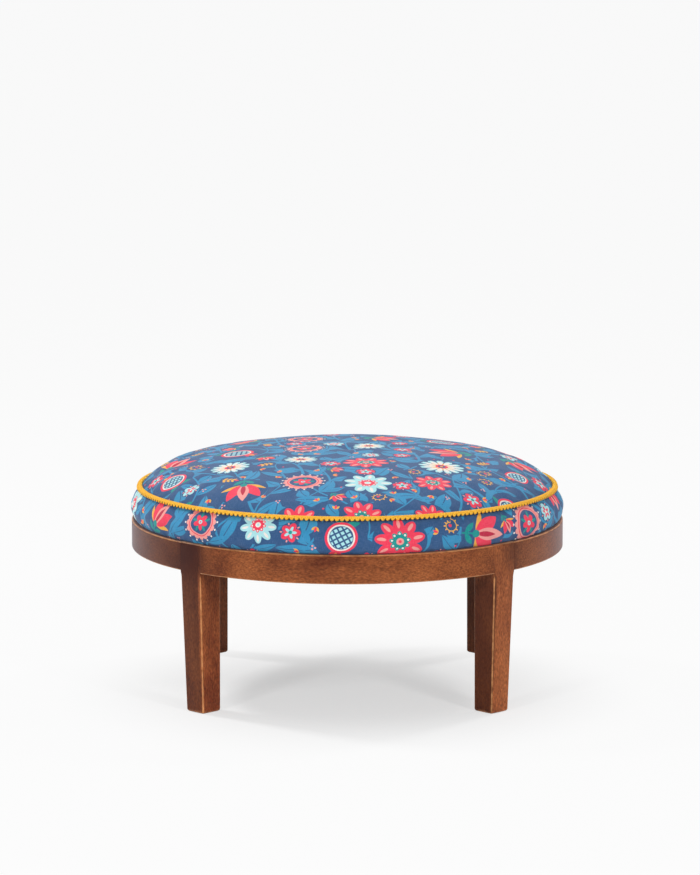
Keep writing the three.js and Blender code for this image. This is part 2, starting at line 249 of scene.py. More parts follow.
# %% [markdown]
# ## The rails
#
# The ring is four quarter rails with the legs' heads between them. Each rail's section is
# swept from one head to the next, and both its ends are sawn flat against the heads, so a
# point near the inside of the ring travels a shorter way than one near the outside. The
# ends all but touch the heads and their edges are nearly sharp, as in a ring that was glued
# up and sanded as one. Stain gathers at such joints, so each rail has a tone of its own and
# is darker towards its ends.

# %% Rows of a rail
rail_steps = 56


def rail_rows(middle_azimuth):
    """Rows of points along one rail, and their wear and painted highlight."""
    eases = [rail_inner_ease, rail_outer_ease, rail_outer_ease, rail_inner_ease]
    section, wear_and_highlight = rounded_section((ring_inner, ring_underside), (ring_radius, ring_top), eases)
    centre = section.mean(axis=0)
    reach = section - centre
    inset = joint_arris / np.abs(reach).max(axis=0)
    head_angle = np.arcsin((leg_head / 2 + joint_gap) / section[:, 0])
    arris_share = joint_arris / (ring_radius * math.pi / 2)
    inside = np.linspace(arris_share * 6, 1 - arris_share * 6, rail_steps + 1)
    rows = []
    for share in (0, arris_share, *inside, 1 - arris_share, 1):
        radius, height = (centre + reach * (1 - inset if share in (0, 1) else 1)).T
        start = middle_azimuth - math.pi / 4 + head_angle
        azimuth = start + (math.pi / 2 - 2 * head_angle) * share
        rows.append(about_axis(radius, azimuth, height))
    return np.array(rows), np.tile(wear_and_highlight, (len(rows), 1))


# %% Rails
stain_reach = 13 * mm
# For each rail: the azimuth of its middle, its tone, and how much darker its two ends are
rail_looks = {
    "rear_rail": (90, 0.8, 0.3, 0.3),
    "left_rail": (180, 0.5, 0.3, 0.4),
    "front_rail": (270, 0.97, 0.42, 0.06),
    "right_rail": (0, 0.82, 0.36, 0.3),
}


def make_rail(node, board_number):
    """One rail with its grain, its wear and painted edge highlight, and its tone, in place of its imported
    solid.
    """
    middle, tone, start_stain, end_stain = rail_looks[node]
    azimuth = math.radians(middle)
    rows, wear_and_highlight = rail_rows(azimuth)
    way = way_along(rows[:, 0])
    stained = tone * (1 - start_stain * np.exp(-way / stain_reach))
    stained = stained * (1 - end_stain * np.exp((way - way[-1]) / stain_reach))
    chord = compass(azimuth + math.pi / 2)
    facts = {
        "grain": board_grain(rows, chord, compass(azimuth), board_number),
        "wear_and_highlight": wear_and_highlight,
        "tone": np.tile(stained[:, None], (1, wear_and_highlight.shape[1])),
    }
    piece = skin(node + "_wood", rows, loop_columns=True, caps=True, facts=facts)
    return stand_for(piece, "stained_walnut", node)


rails = [make_rail(node, number + 1) for number, node in enumerate(rail_looks)]
print("rail faces:", len(rails[0].data.polygons))

# %% [markdown]
# ## The legs
#
# A leg is one piece of wood from the floor to the top of the ring. Below the ring it tapers
# to its foot, and its outer face follows the ring's curve. Its edges are rounded below and
# nearly sharp in the head, where they meet the rails, so the rounding fades out just under
# the ring. A stack of sections, each with its own size and rounding, gives all of this.
# Every leg took the stain in its own way, so it carries a tone of its own, lighter towards
# the foot on the front left one. This tone also holds painted light and shade: the seen side
# face of a front leg is painted lighter (front left) or darker (front right) for the light that
# falls on it, and the front left head is painted dark for a dark reflection on it.

# %% Levels of a leg
level_gap = 1.5 * mm


def leg_levels():
    """(height, inset of the whole section, rounding of its edges) from the floor up."""
    levels = []
    for turn in np.linspace(0, math.pi / 2, 5):
        rise, inset = leg_foot_ease * (1 - math.cos(turn)), leg_foot_ease * (1 - math.sin(turn))
        levels.append((rise, inset, leg_arris))
    fade_start = ring_underside - arris_fade
    shaft = np.linspace(leg_foot_ease + level_gap, fade_start, 16)
    levels += [(height, 0, leg_arris) for height in shaft]
    for share in np.linspace(0.2, 1, 6):
        ease = leg_arris + (joint_arris - leg_arris) * (3 * share ** 2 - 2 * share ** 3)
        levels.append((fade_start + arris_fade * share, 0, ease))
    head = np.linspace(ring_underside + level_gap, ring_top - rail_outer_ease, 6)
    top = ring_top - rail_outer_ease * (1 - np.sin(np.linspace(0.3, math.pi / 2, 5)))
    return levels + [(height, 0, joint_arris) for height in (*head, *top)]


print("levels of a leg:", len(leg_levels()))


# %% One level of a leg
def leg_row(height, inset, arris):
    """One level of a leg that stands on +X, and its wear and painted highlight."""
    taper = max(0.0, 1 - height / ring_underside)
    size = leg_head + (leg_foot - leg_head) * taper
    low = (inset, inset - size / 2)
    high = (size - inset, size / 2 - inset)
    section, wear_and_highlight = rounded_section(low, high, [arris] * 4)
    depth, across = section.T
    bend = (ring_radius - np.sqrt(ring_radius ** 2 - across ** 2)) * (1 - depth / size)
    out = ring_radius - leg_foot_inset * taper - depth - bend
    drop = max(0.0, height - (ring_top - rail_outer_ease))
    eased = ring_radius - rail_outer_ease + math.sqrt(max(0.0, rail_outer_ease ** 2 - drop ** 2))
    pull = np.minimum(1, eased / np.hypot(out, across))
    row = np.stack([out * pull, across * pull, np.full(len(out), height)], axis=-1)
    return row, wear_and_highlight * min(1.0, arris / leg_arris)


# %% Tones of the legs
head_blend = 20 * mm
foot_blend_share = 0.75
side_face_from, side_face_blend = 0.42, 0.06
# For each leg: its azimuth, the tone of its stain, the painted light (above 1) or shade
# (below 1) on its seen side face, the tone towards its foot, the tone of its head with its
# painted shade, and how far the head's tone and painted shade lean to one side
leg_looks = {
    "rear_right": (45, 0.6, 1.0, 1.0, 0.7, 0.0),
    "rear_left": (135, 0.85, 1.0, 1.0, 0.7, 0.0),
    "front_left": (225, 0.5, 2.5, 1.55, 0.36, 0.4),
    "front_right": (315, 1.3, 0.36, 1.0, 0.68, -0.3),
}


def leg_stain_and_shade(corner, side, height):
    """The stain's tone at each point of a leg, with painted light and shade on its side face and head."""
    _, leg, face, foot, head, lean = leg_looks[corner]
    to_head = np.clip((height - ring_underside) / (2 * head_blend) + 0.5, 0, 1)
    to_foot = np.clip(1 - height / (ring_underside * foot_blend_share), 0, 1)
    seen_side = 1 if corner == "front_left" else -1
    on_face = np.clip((side * seen_side / leg_foot - side_face_from) / side_face_blend, 0, 1)
    # A side face's painted shade stops under the ring, where the head's own tone takes over
    if face < 1:
        on_face = on_face * (1 - to_head)
    tone = leg * (1 + (face - 1) * on_face) * (1 + (foot - 1) * to_foot)
    head_stain_and_shade = head * (1 + lean * side / (leg_head / 2))
    return tone * (1 + (head_stain_and_shade - 1) * to_head)


# %% Legs
foot_wear_and_highlight_height = 3 * mm
head_wear_and_highlight_depth = 1.2 * mm
head_wear_and_highlight_width = 6 * mm


def make_leg(corner, board_number):
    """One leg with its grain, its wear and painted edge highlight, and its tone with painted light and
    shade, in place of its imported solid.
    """
    azimuth = math.radians(leg_looks[corner][0])
    levels = [leg_row(*level) for level in leg_levels()]
    standing = np.array([row for row, _ in levels])
    out, side, height = np.moveaxis(standing, -1, 0)
    outwards = compass(azimuth)
    rows = standing @ np.stack([outwards, compass(azimuth + math.pi / 2), upwards])
    wear_and_highlight = np.array([worn for _, worn in levels]) + np.exp(-height / foot_wear_and_highlight_height)
    on_rim = out > ring_radius - head_wear_and_highlight_width
    facts = {
        "grain": board_grain(rows, upwards, outwards, board_number),
        "wear_and_highlight": np.clip(wear_and_highlight + np.exp((height - ring_top) / head_wear_and_highlight_depth) * on_rim, 0, 1),
        "tone": leg_stain_and_shade(corner, side, height),
    }
    piece = skin(corner + "_leg_wood", rows, loop_columns=True, caps=True, facts=facts)
    return stand_for(piece, "stained_walnut", corner + "_leg")


legs = [make_leg(corner, number + 5) for number, corner in enumerate(leg_looks)]
print("leg faces:", len(legs[0].data.polygons))

# %% [markdown]
# ## The cushion's form
#
# The cushion is cut in two: a round top panel and a strip round the side, sewn together with
# the braid in the seam. In profile the top rises steeply from the seam and flattens out,
# and the side swells out between the seam and the ring. Two short formulas draw these
# lines, from the seam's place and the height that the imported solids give.

# %% Cushion profile
seam_set_back = 16 * mm
foot_set_back = 5 * mm
seam_allowance = 5.5 * mm
crown_span_power = 2.6
crown_rise_power = 0.565
side_bulge = 10.3 * mm
bulge_power = 0.75
side_corner = 3 * mm
side_seam_sag = 3.0 * mm
cloth_thickness = 1.2 * mm
seam_radius = ring_radius - seam_set_back
lip_radius = seam_radius - seam_allowance
side_foot = ring_radius - foot_set_back
crown_base = top_low.z
crown_height = top_high.z - crown_base
side_top = side_high.z
side_bottom = side_low.z
seam_height = (crown_base + side_top) / 2


def crown_at(share):
    """Height of the top panel at a share of the seam's radius."""
    inside = np.clip(1 - np.power(share, crown_span_power), 0, 1)
    return crown_base + crown_height * np.power(inside, crown_rise_power)


def side_at(share):
    """Radius and height of the side strip at a share of the way down from the seam."""
    swell = side_bulge * np.power(np.sin(np.pi * np.clip(share, 0, 1)), bulge_power)
    height = side_top + (side_bottom + side_corner - side_top) * share
    return seam_radius + (side_foot - seam_radius) * share + swell, height


def seam_sag(y):
    """How far the seam hangs under its level at a place y: nothing at the front, most at the back."""
    return side_seam_sag * (1 + y / seam_radius)


print("seam radius", round(seam_radius, 4), "seam height", round(seam_height, 4))

# %% [markdown]
# ## Padded cloth by simulation
#
# Real padding pushes cloth outwards everywhere, and the seam holds it back. Blender's Cloth
# does just that with a pressure inside and the seam pinned. The result is read back as
# plain points, each one allowed to move only a few millimetres, and the modifier is taken
# off again.

# %% Inflating helper
inflate_frames = 20
cotton_settings = {
    "quality": 6,
    "mass": 0.06,
    "tension_stiffness": 18,
    "compression_stiffness": 18,
    "shear_stiffness": 8,
    "bending_stiffness": 0.8,
    "use_pressure": True,
}


def coordinates(mesh):
    """A mesh's points as an array."""
    flat = np.empty(len(mesh.vertices) * 3)
    mesh.vertices.foreach_get("co", flat)
    return flat.reshape(-1, 3)


def inflate(piece, held, pressure, slack, most_movement):
    """Fills a piece of cloth out. held are the points that the sewing holds, slack is spare cloth."""
    start = coordinates(piece.data)
    sewn = piece.vertex_groups.new(name="sewn")
    sewn.add([int(i) for i in held], 1.0, "REPLACE")
    cloth = piece.modifiers.new("padding", "CLOTH")
    for setting, value in cotton_settings.items():
        setattr(cloth.settings, setting, value)
    cloth.settings.uniform_pressure_force = pressure
    cloth.settings.shrink_min = -slack
    cloth.settings.vertex_group_mass = "sewn"
    cloth.settings.effector_weights.gravity = 0
    cloth.point_cache.frame_start = 1
    cloth.point_cache.frame_end = inflate_frames
    for moment in range(1, inflate_frames + 1):
        bpy.context.scene.frame_set(moment)
    filled = piece.evaluated_get(bpy.context.evaluated_depsgraph_get())
    move = coordinates(filled.data) - start
    length = np.linalg.norm(move, axis=1, keepdims=True)
    move *= np.minimum(1, most_movement / np.maximum(length, 1e-9))
    piece.modifiers.remove(cloth)
    piece.vertex_groups.remove(sewn)
    bpy.context.scene.frame_set(1)
    piece.data.vertices.foreach_set("co", (start + move).ravel())
    piece.data.update()
    return float(np.linalg.norm(move, axis=1).mean())


# %% [markdown]
# ## The top panel
#
# A round panel could be a fan of rings, but a fan pinches all its faces together in the
# middle. Here a square grid is pressed into the circle instead, so that the cloth has
# even faces everywhere. The points crowd towards the seam, where the panel turns down. The
# panel starts a little low, with a seeded unevenness of under a millimetre, and the
# simulation fills it up.

# %% Top panel
panel_cells = 84
start_slack = 2.2 * mm
broad_wave, broad_length, broad_seed = 0.9, 0.13, 3.1
small_wave, small_length, small_seed = 0.35, 0.045, 7.7


def disc_grid(cells):
    """Share of the radius and azimuth for each point of a square grid pressed into a circle."""
    a, b = np.meshgrid(np.linspace(-1, 1, cells + 1), np.linspace(-1, 1, cells + 1), indexing="ij")
    wide = np.abs(a) >= np.abs(b)
    reach = np.where(wide, a, b)
    safe = np.where(np.abs(reach) < 1e-9, 1e-9, reach)
    turn = np.where(wide, (math.pi / 4) * b / safe, math.pi / 2 - (math.pi / 4) * a / safe)
    azimuth = np.where(reach < 0, turn + math.pi, turn)
    return np.sin(np.abs(reach) * math.pi / 2), azimuth


def wander(x, y, length, seed):
    """A smooth seeded wave over the cloth, from about -1 to 1."""
    return noise.noise(Vector((x / length, y / length, seed)))


share, azimuth = disc_grid(panel_cells)
fullness = (crown_at(share) - crown_base) / crown_height
panel_rows = about_axis(seam_radius * share, azimuth, crown_at(share) - start_slack * fullness)
for spot in np.ndindex(share.shape):
    x, y = panel_rows[spot][:2]
    lift = broad_wave * wander(x, y, broad_length, broad_seed)
    lift += small_wave * wander(x, y, small_length, small_seed)
    panel_rows[spot][2] += lift * mm * fullness[spot]
print("top panel points:", share.size)

# %% Cloth lengths over the crown
steps = np.linspace(0, 1, 4001)
cloth_way = way_along(np.stack([steps * seam_radius, crown_at(steps)], axis=-1))
panel_way = np.interp(share, steps, cloth_way)
print("cloth from the middle to the seam:", round(float(cloth_way[-1]), 4))

# %% Fill the top panel
panel_pressure = 6.0
panel_spare = 0.004
panel_most_movement = 5 * mm

panel_place = about_axis(panel_way, azimuth, 0.0) * to_mm
top_panel = skin("cushion_top", panel_rows, facts={"cloth_place": panel_place})
if top_panel.data.polygons[0].normal.z < 0:
    top_panel.data.flip_normals()
grid = np.arange(share.size).reshape(share.shape)
rim = np.concatenate([grid[0, :-1], grid[:-1, -1], grid[-1, :0:-1], grid[:0:-1, 0]])
moved = inflate(top_panel, rim, panel_pressure, panel_spare, panel_most_movement)
filled = coordinates(top_panel.data)
print("top panel moved", round(moved * to_mm, 2), "mm; its top is at", round(float(filled[:, 2].max()), 4))

# %% [markdown]
# The simulation makes the panel a little too full or too flat as a whole. Its average
# difference from the drawn line is taken away, so that only the unevenness stays. The
# left shoulder gets a little more padding, and the rim follows the sag of the seam.

# %% Bring the panel back to its drawn line
full_shoulder = 2.6 * mm
shoulder_middle, shoulder_width = 0.88, 0.07
curve_degree = 6
sag_fade_power = 6

flat_share = share.ravel()
difference = filled[:, 2] - crown_at(flat_share)
general = np.polyval(np.polyfit(flat_share, difference, curve_degree), flat_share)
to_left = np.clip(-np.cos(azimuth.ravel()), 0, 1) ** 4
shoulder = np.exp(-((flat_share - shoulder_middle) / shoulder_width) ** 2) * to_left
height = filled[:, 2] - general + full_shoulder * shoulder
sag = seam_sag(filled[:, 1]) * flat_share ** sag_fade_power
filled[:, 2] = np.where(flat_share > 0.999, crown_base, height) - sag
top_panel.data.vertices.foreach_set("co", filled.ravel())
uneven = np.abs(height - crown_at(flat_share)).mean()
print("unevenness of the top:", round(float(uneven) * to_mm, 2), "mm")

# %% [markdown]
# The sewing doesn't stop at the rim: the cloth goes on under the braid. Two more rows of
# faces, made by extruding the rim, turn in and close the gap at the seam.

# %% Turn in the panel's lip
panel_fold = 0.4 * mm
panel_lip_height = crown_base - 0.2 * mm


def turn_in(piece, rim_points, fold, lip_height):
    """Adds two rows of cloth past the rim: a small fold, and the lip under the braid."""
    work = bmesh.new()
    work.from_mesh(piece.data)
    work.verts.ensure_lookup_table()
    layer = work.verts.layers.float_vector["cloth_place"]
    row = [work.verts[int(i)] for i in rim_points]
    for radius in (seam_radius - fold, lip_radius):
        following = []
        for point in row:
            x, y = point.co.xy
            scale = 1 / math.hypot(x, y)
            height = lip_height - seam_sag(y * seam_radius * scale)
            fresh = work.verts.new((x * radius * scale, y * radius * scale, height))
            fresh[layer] = point[layer]
            following.append(fresh)
        for i in range(len(row)):
            j = (i + 1) % len(row)
            work.faces.new((row[i], following[i], following[j], row[j]))
        row = following
    bmesh.ops.recalc_face_normals(work, faces=work.faces)
    if sum(face.normal.z for face in work.faces) < 0:
        bmesh.ops.reverse_faces(work, faces=work.faces)
    work.to_mesh(piece.data)
    work.free()
    piece.data.shade_smooth()


turn_in(top_panel, rim, panel_fold, panel_lip_height)
print("top panel faces:", len(top_panel.data.polygons))

# %% [markdown]
# ## Thickness and smoothness
#
# The simulated cloth is one layer of large faces. A subdivision surface rounds it, and a
# solidify modifier gives it the thickness of lined upholstery cotton, towards the padding.

# %% Finish a padded piece
def as_padded(piece, fill, *nodes):
    """Rounds a cloth piece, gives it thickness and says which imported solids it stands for."""
    smooth = piece.modifiers.new("rounding", "SUBSURF")
    smooth.levels = 1
    smooth.render_levels = 1
    thick = piece.modifiers.new("thickness", "SOLIDIFY")
    thick.thickness = cloth_thickness
    thick.offset = -1
    stand_for(piece, "printed_cotton", *nodes)


as_padded(top_panel, 0.9, "top_cover", "foam_core", "wadding")

# %% [markdown]
# ## The side strip
#
# The strip is sewn to the braid at its top, swells over the foam's edge and is pulled under
# the board. Rows of points follow that path. Small seeded waves, strongest where the
# upholsterer pulled the cloth tight over the edge, keep it from looking like turned
# plastic. The simulation fills it out between its two held edges, and afterwards the strip
# is brought back to the drawn profile on average, so only the unevenness is left.

# %% Side strip
side_columns = 288
side_rows_down = 24
corner_rows = 5
tuck_width = 30 * mm
tuck_shares = np.array([0.12, 0.5, 1])
tuck_lift = 0.1 * mm
crowding_power = 1.15
side_end_share = 0.985


def side_path():
    """(radius, height) from the seam down to the tuck under the cushion."""
    shares = np.sin(np.linspace(0, 1, side_rows_down) * math.pi / 2) ** crowding_power
    radius, height = side_at(shares * side_end_share)
    turn = np.linspace(0.1, 1, corner_rows) * math.pi / 2
    corner_radius = side_foot - side_corner * (1 - np.cos(turn))
    corner_height = side_bottom + side_corner * (1 - np.sin(turn))
    tuck_radius = side_foot - side_corner - tuck_shares * (tuck_width - side_corner)
    tuck_height = np.full(len(tuck_shares), side_bottom + tuck_lift)
    radii = np.concatenate([radius, corner_radius, tuck_radius])
    return radii, np.concatenate([height, corner_height, tuck_height])


path_radius, path_height = side_path()
path_way = way_along(np.stack([path_radius, path_height], axis=-1))
print("cloth down the side:", round(float(path_way[-1]), 4), "m in", len(path_way), "rows")


# %% Make and fill the side strip
side_slack = 1.5 * mm
side_pressure = 40.0
side_spare = 0.012
side_most_movement = 4 * mm
slow_wave, slow_rounds, slow_drop = 0.7, 3.1, 12
pull_wave, pull_rounds, pull_seed = 0.5, 14, 5.5
pull_depth, pull_start = 0.06, 0.35


def side_wave(angle, drop):
    """How far the strip stands in or out of its drawn line, in metres."""
    x, y = math.cos(angle), math.sin(angle)
    slow = noise.noise(Vector((x * slow_rounds, y * slow_rounds, drop * slow_drop)))
    pull = noise.noise(Vector((x * pull_rounds, y * pull_rounds, pull_seed)))
    tightness = max(0.0, drop / pull_depth - pull_start)
    return (slow_wave * slow + pull_wave * pull * tightness) * mm


def face_out(mesh):
    """Turns a round strip's faces away from the tuffet's axis."""
    if sum(face.center.xy.dot(face.normal.xy) for face in mesh.polygons) < 0:
        mesh.flip_normals()


angles = np.arange(side_columns) * 2 * math.pi / side_columns
waves = np.array([[side_wave(angle, drop) for angle in angles] for drop in path_way])
swell = np.sin(np.pi * np.minimum(path_way / path_way[side_rows_down + 2], 1))
reach = path_radius[:, None] + (waves - side_slack) * np.clip(swell, 0, 1)[:, None]
side_points = about_axis(reach, angles, path_height[:, None])
side_place = side_points * to_mm
side_place[..., 2] = path_way[:, None] * to_mm
facts = {"cloth_place": side_place[:, ::-1]}
side_strip = skin("cushion_side", side_points[:, ::-1], loop_columns=True, facts=facts)
side_grid = np.arange(reach.size).reshape(reach.shape)
held = np.concatenate([side_grid[0], side_grid[side_rows_down + 3:].ravel()])
face_out(side_strip.data)
moved = inflate(side_strip, held, side_pressure, side_spare, side_most_movement)
print("side strip moved", round(moved * to_mm, 2), "mm")

# %% Bring the strip back to its drawn line
side_fold = 0.5 * mm
side_lip_height = side_top + 0.1 * mm

filled_side = coordinates(side_strip.data).reshape(side_points.shape)
reach = np.hypot(filled_side[..., 0], filled_side[..., 1])
correction = path_radius - reach.mean(axis=1)
filled_side[..., :2] *= ((reach + correction[:, None]) / reach)[..., None]
filled_side[..., 2] += (path_height - filled_side[..., 2].mean(axis=1))[:, None]
level = np.clip((path_height - side_bottom) / (side_top - side_bottom), 0, 1)[:, None]
filled_side[..., 2] -= seam_sag(filled_side[..., 1] * seam_radius / path_radius[:, None]) * level
side_strip.data.vertices.foreach_set("co", filled_side.ravel())
turn_in(side_strip, side_grid[0], side_fold, side_lip_height)
face_out(side_strip.data)
as_padded(side_strip, 0.85, "side_cover")
widest = np.hypot(filled_side[..., 0], filled_side[..., 1]).max()
print("largest radius of the side:", round(float(widest), 4))

# %% [markdown]
# ## The scalloped braid
#
# The trim is a soft rolled braid on a flat tape. The tape is caught in the seam, the roll
# lies on it, and small rounded scallops hang from the roll's lower edge, with a notch between
# each two that is painted dark for its shade. An array of one scallop would need fitting to
# the circle, so the whole braid is one skin: its section is swept round the seam, and the
# lower part of the section reaches out by a row of half rounds.

# %% Section of the braid
braid_tape = 1 * mm
roll_width = 8.0 * mm
roll_height = 5.0 * mm
roll_lift = 2.5 * mm
roll_reach = 2.7 * mm
roll_start, roll_end, roll_points = -128, 162, 23
scallop_depth = 2.9 * mm
scallop_fall = math.radians(-48)
scallop_thinness = 5
twist_depth = 0.075


def braid_section(lobe, twist):
    """The section of the braid where its scallop reaches out by a share of its depth."""
    low, high = seam_height - braid_tape / 2, seam_height + braid_tape / 2
    points = [(lip_radius, low), (seam_radius, low)]
    for angle in np.radians(np.linspace(roll_start, roll_end, roll_points)):
        lean = max(0.0, math.cos(angle - scallop_fall)) ** scallop_thinness
        reach = scallop_depth * lobe * lean
        strand = 1 + twist_depth * math.cos(twist - angle)
        out = roll_width / 2 * strand * math.cos(angle) + reach * math.cos(scallop_fall)
        rise = roll_height / 2 * strand * math.sin(angle) + reach * math.sin(scallop_fall)
        points.append((seam_radius + roll_reach + out, seam_height + roll_lift + rise))
    return np.array(points + [(seam_radius, high), (lip_radius, high)])


# %% Braid
scallop_count = 270
steps_per_scallop = 12
lobe_power = 0.55

column = np.arange(scallop_count * steps_per_scallop)
braid_angles = column * 2 * math.pi / len(column)
place_in_scallop = (column % steps_per_scallop + 0.5) / steps_per_scallop * 2 - 1
lobes = np.cos(place_in_scallop * math.pi / 2) ** lobe_power
twists = place_in_scallop * 2 * math.pi
sections = np.array([braid_section(lobe, twist) for lobe, twist in zip(lobes, twists)])
braid_heights = sections[..., 1] - seam_sag(seam_radius * np.sin(braid_angles))[:, None]
braid_points = about_axis(sections[..., 0], braid_angles[:, None], braid_heights)
braid_place = braid_points * to_mm
braid_place[..., 2] = way_along(sections[0]) * to_mm
hangs = np.linalg.norm(braid_section(1, 0) - braid_section(0, 0), axis=1) / scallop_depth
# The notch mask says where shade is painted between the scallops
facts = {"braid_place": braid_place, "notch_shade_mask": (1 - lobes)[:, None] * hangs}
braid = skin("scalloped_braid", braid_points, loop_rows=True, loop_columns=True, facts=facts)
stand_for(braid, "yellow_braid", "trim_braid")
scallop_pitch = 2 * math.pi * seam_radius / scallop_count
print("braid faces:", len(braid.data.polygons), "scallop pitch", round(scallop_pitch, 5))

# %% [markdown]
# ## The dust cover
#
# Under the board a round of black cambric hides the raw tucks. It is thin cloth on a flat
# board, so it hangs a little between its staples and is drawn into small pleats at its edge.
# It is a skin of its own.

# %% Dust cover
dust_low, dust_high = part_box("dust_cover")
dust_radius = dust_high.x
dust_height = (dust_low.z + dust_high.z) / 2
dust_sag = 2.5 * mm
dust_cells = 48
pleat_depth = 0.25 * mm
pleat_rounds = 34
flat_from = 0.8


def dust_hang(share, azimuth):
    """How far the cambric hangs below its edge, in metres."""
    middle = np.maximum(0, 1 - (share / flat_from) ** 2) ** 1.5
    edge = np.maximum(0, (share - flat_from) / (1 - flat_from)) * (1 - share) / (1 - flat_from)
    return dust_sag * middle + pleat_depth * np.sin(azimuth * pleat_rounds) * edge


dust_share, dust_azimuth = disc_grid(dust_cells)
dust_heights = dust_height - dust_hang(dust_share, dust_azimuth)
dust_rows = about_axis(dust_radius * dust_share, dust_azimuth, dust_heights)
dust_cover = skin("dust_cover_cloth", dust_rows, facts={"cloth_place": dust_rows * to_mm})
stand_for(dust_cover, "black_cambric", "dust_cover")
print("dust cover hangs", round(dust_sag * to_mm, 1), "mm")

# %% [markdown]
# ## Words for writing a finish
#
# A finish is a tree of nodes, and a rich one has hundreds. Placing them by hand is slow and
# hard to read, so a small class turns plain sums into Math nodes: adding two measures adds
# a node, and `under` makes a soft-edged mask of everything closer than a given edge. The
# tree that comes out is an ordinary one and can be opened in the Shader Editor.

# %% Measures
def ink(red, green, blue):
    """A colour written as on a colour picker, 0 to 255, as the shader's own numbers."""
    channels = [value / 255 for value in (red, green, blue)]
    return tuple(c / 12.92 if c < 0.04045 else ((c + 0.055) / 1.055) ** 2.4 for c in channels) + (1.0,)


def math_node(operation):
    """A word for measures that adds one Math node."""
    return lambda measure, *others: measure.do(operation, *others)


class Measure:
    """A number that the shader works out at every point of a surface."""

    def __init__(self, finish, socket):
        self.finish = finish
        self.socket = socket

    def do(self, operation, *others, clamp=False):
        return self.finish.do(operation, self, *others, clamp=clamp)

    __add__ = __radd__ = math_node("ADD")
    __sub__ = math_node("SUBTRACT")
    __mul__ = __rmul__ = math_node("MULTIPLY")
    __truediv__ = math_node("DIVIDE")
    __pow__ = math_node("POWER")
    __abs__ = math_node("ABSOLUTE")
    sine = math_node("SINE")
    cosine = math_node("COSINE")
    root = math_node("SQRT")

    def __rsub__(self, other):
        return self.finish.do("SUBTRACT", other, self)

    def under(self, edge, soft=0.3):
        """1 where this is below the edge and 0 above it, with a soft step between."""
        return (edge - self).do("MULTIPLY_ADD", 0.5 / soft, 0.5, clamp=True)

    def over(self, edge, soft=0.3):
        """1 where this is above the edge."""
        return (self - edge).do("MULTIPLY_ADD", 0.5 / soft, 0.5, clamp=True)


# %% Nodes
nodes_in_column, column_step, row_step = 12, 200, -170


def empty_tree(owner):
    """The node tree of a material or a world, without the nodes that come with it."""
    owner.use_nodes = True
    owner.node_tree.nodes.clear()
    return owner.node_tree


def feed(tree, node, sources):
    """Feeds inputs, by name or place, from nodes, their outputs, measures or plain values."""
    for place, source in sources.items():
        if isinstance(source, Measure):
            source = source.socket
        if isinstance(source, bpy.types.Node):
            source = source.outputs[0]
        if isinstance(source, bpy.types.NodeSocket):
            tree.links.new(source, node.inputs[place])
        else:
            node.inputs[place].default_value = source


def add_node(tree, kind, sources=None, **settings):
    """A new node with its own settings, its inputs fed and a place in the editor."""
    node = tree.nodes.new(kind)
    column, row = divmod(len(tree.nodes), nodes_in_column)
    node.location = (column_step * column, row_step * row)
    for setting, value in settings.items():
        setattr(node, setting, value)
    feed(tree, node, sources or {})
    return node


# %% Finishes
class Finish:
    """The node tree of one material, with the words to write it in."""

    def __init__(self, name, roughness, **plain):
        self.material = bpy.data.materials.new(name)
        self.tree = empty_tree(self.material)
        plain_values = {socket.replace("_", " "): value for socket, value in plain.items()}
        self.shader = self.node("ShaderNodeBsdfPrincipled", {"Roughness": roughness, **plain_values})
        self.node("ShaderNodeOutputMaterial", {"Surface": self.shader})

    def node(self, kind, sources=None, **settings):
        return add_node(self.tree, kind, sources, **settings)

    def do(self, operation, *values, clamp=False):
        sources = dict(enumerate(values))
        made = self.node("ShaderNodeMath", sources, operation=operation, use_clamp=clamp)
        return Measure(self, made.outputs[0])

    def split(self, vector):
        return [Measure(self, part) for part in self.node("ShaderNodeSeparateXYZ", {0: vector}).outputs]

    def join(self, *numbers):
        return self.node("ShaderNodeCombineXYZ", dict(enumerate(numbers))).outputs[0]

    def kept(self, fact):
        """The three numbers of a fact that the mesh's points carry."""
        return self.split(self.node("ShaderNodeAttribute", attribute_name=fact).outputs["Vector"])

    def kept_number(self, fact):
        return Measure(self, self.node("ShaderNodeAttribute", attribute_name=fact).outputs["Fac"])

    def own_place(self):
        """The three coordinates of the object itself."""
        return self.split(self.node("ShaderNodeTexCoord").outputs["Object"])

    def clouds(self, place, times, detail=2.0, roughness=0.5):
        """Smooth random clouds from 0 to 1, with so many of them to a unit each way."""
        vector = self.join(*(number * many for number, many in zip(place, times)))
        sources = {"Vector": vector, "Scale": 1.0, "Detail": detail, "Roughness": roughness}
        return Measure(self, self.node("ShaderNodeTexNoise", sources).outputs[0])

    def paint(self, base, *layers):
        """The base colour with layers over it. Each is a colour and the mask that it shows through."""
        for colour, mask in layers:
            sources = {0: mask, 6: base, 7: colour}
            base = self.node("ShaderNodeMix", sources, data_type="RGBA").outputs[2]
        return base

    def shade(self, colour, amount):
        """The colour made lighter or darker: an amount of 1 leaves it as it is."""
        sources = {0: colour, "Scale": amount}
        return self.node("ShaderNodeVectorMath", sources, operation="SCALE").outputs[0]

    def finish_with(self, colour, roughness, height, strength, depth=0.3 * mm):
        """Joins the colour, the roughness and the relief to the shader."""
        bump = self.node("ShaderNodeBump", {"Strength": strength, "Distance": depth, "Height": height})
        feed(self.tree, self.shader, {"Base Color": colour, "Roughness": roughness, "Normal": bump})
        return self.material


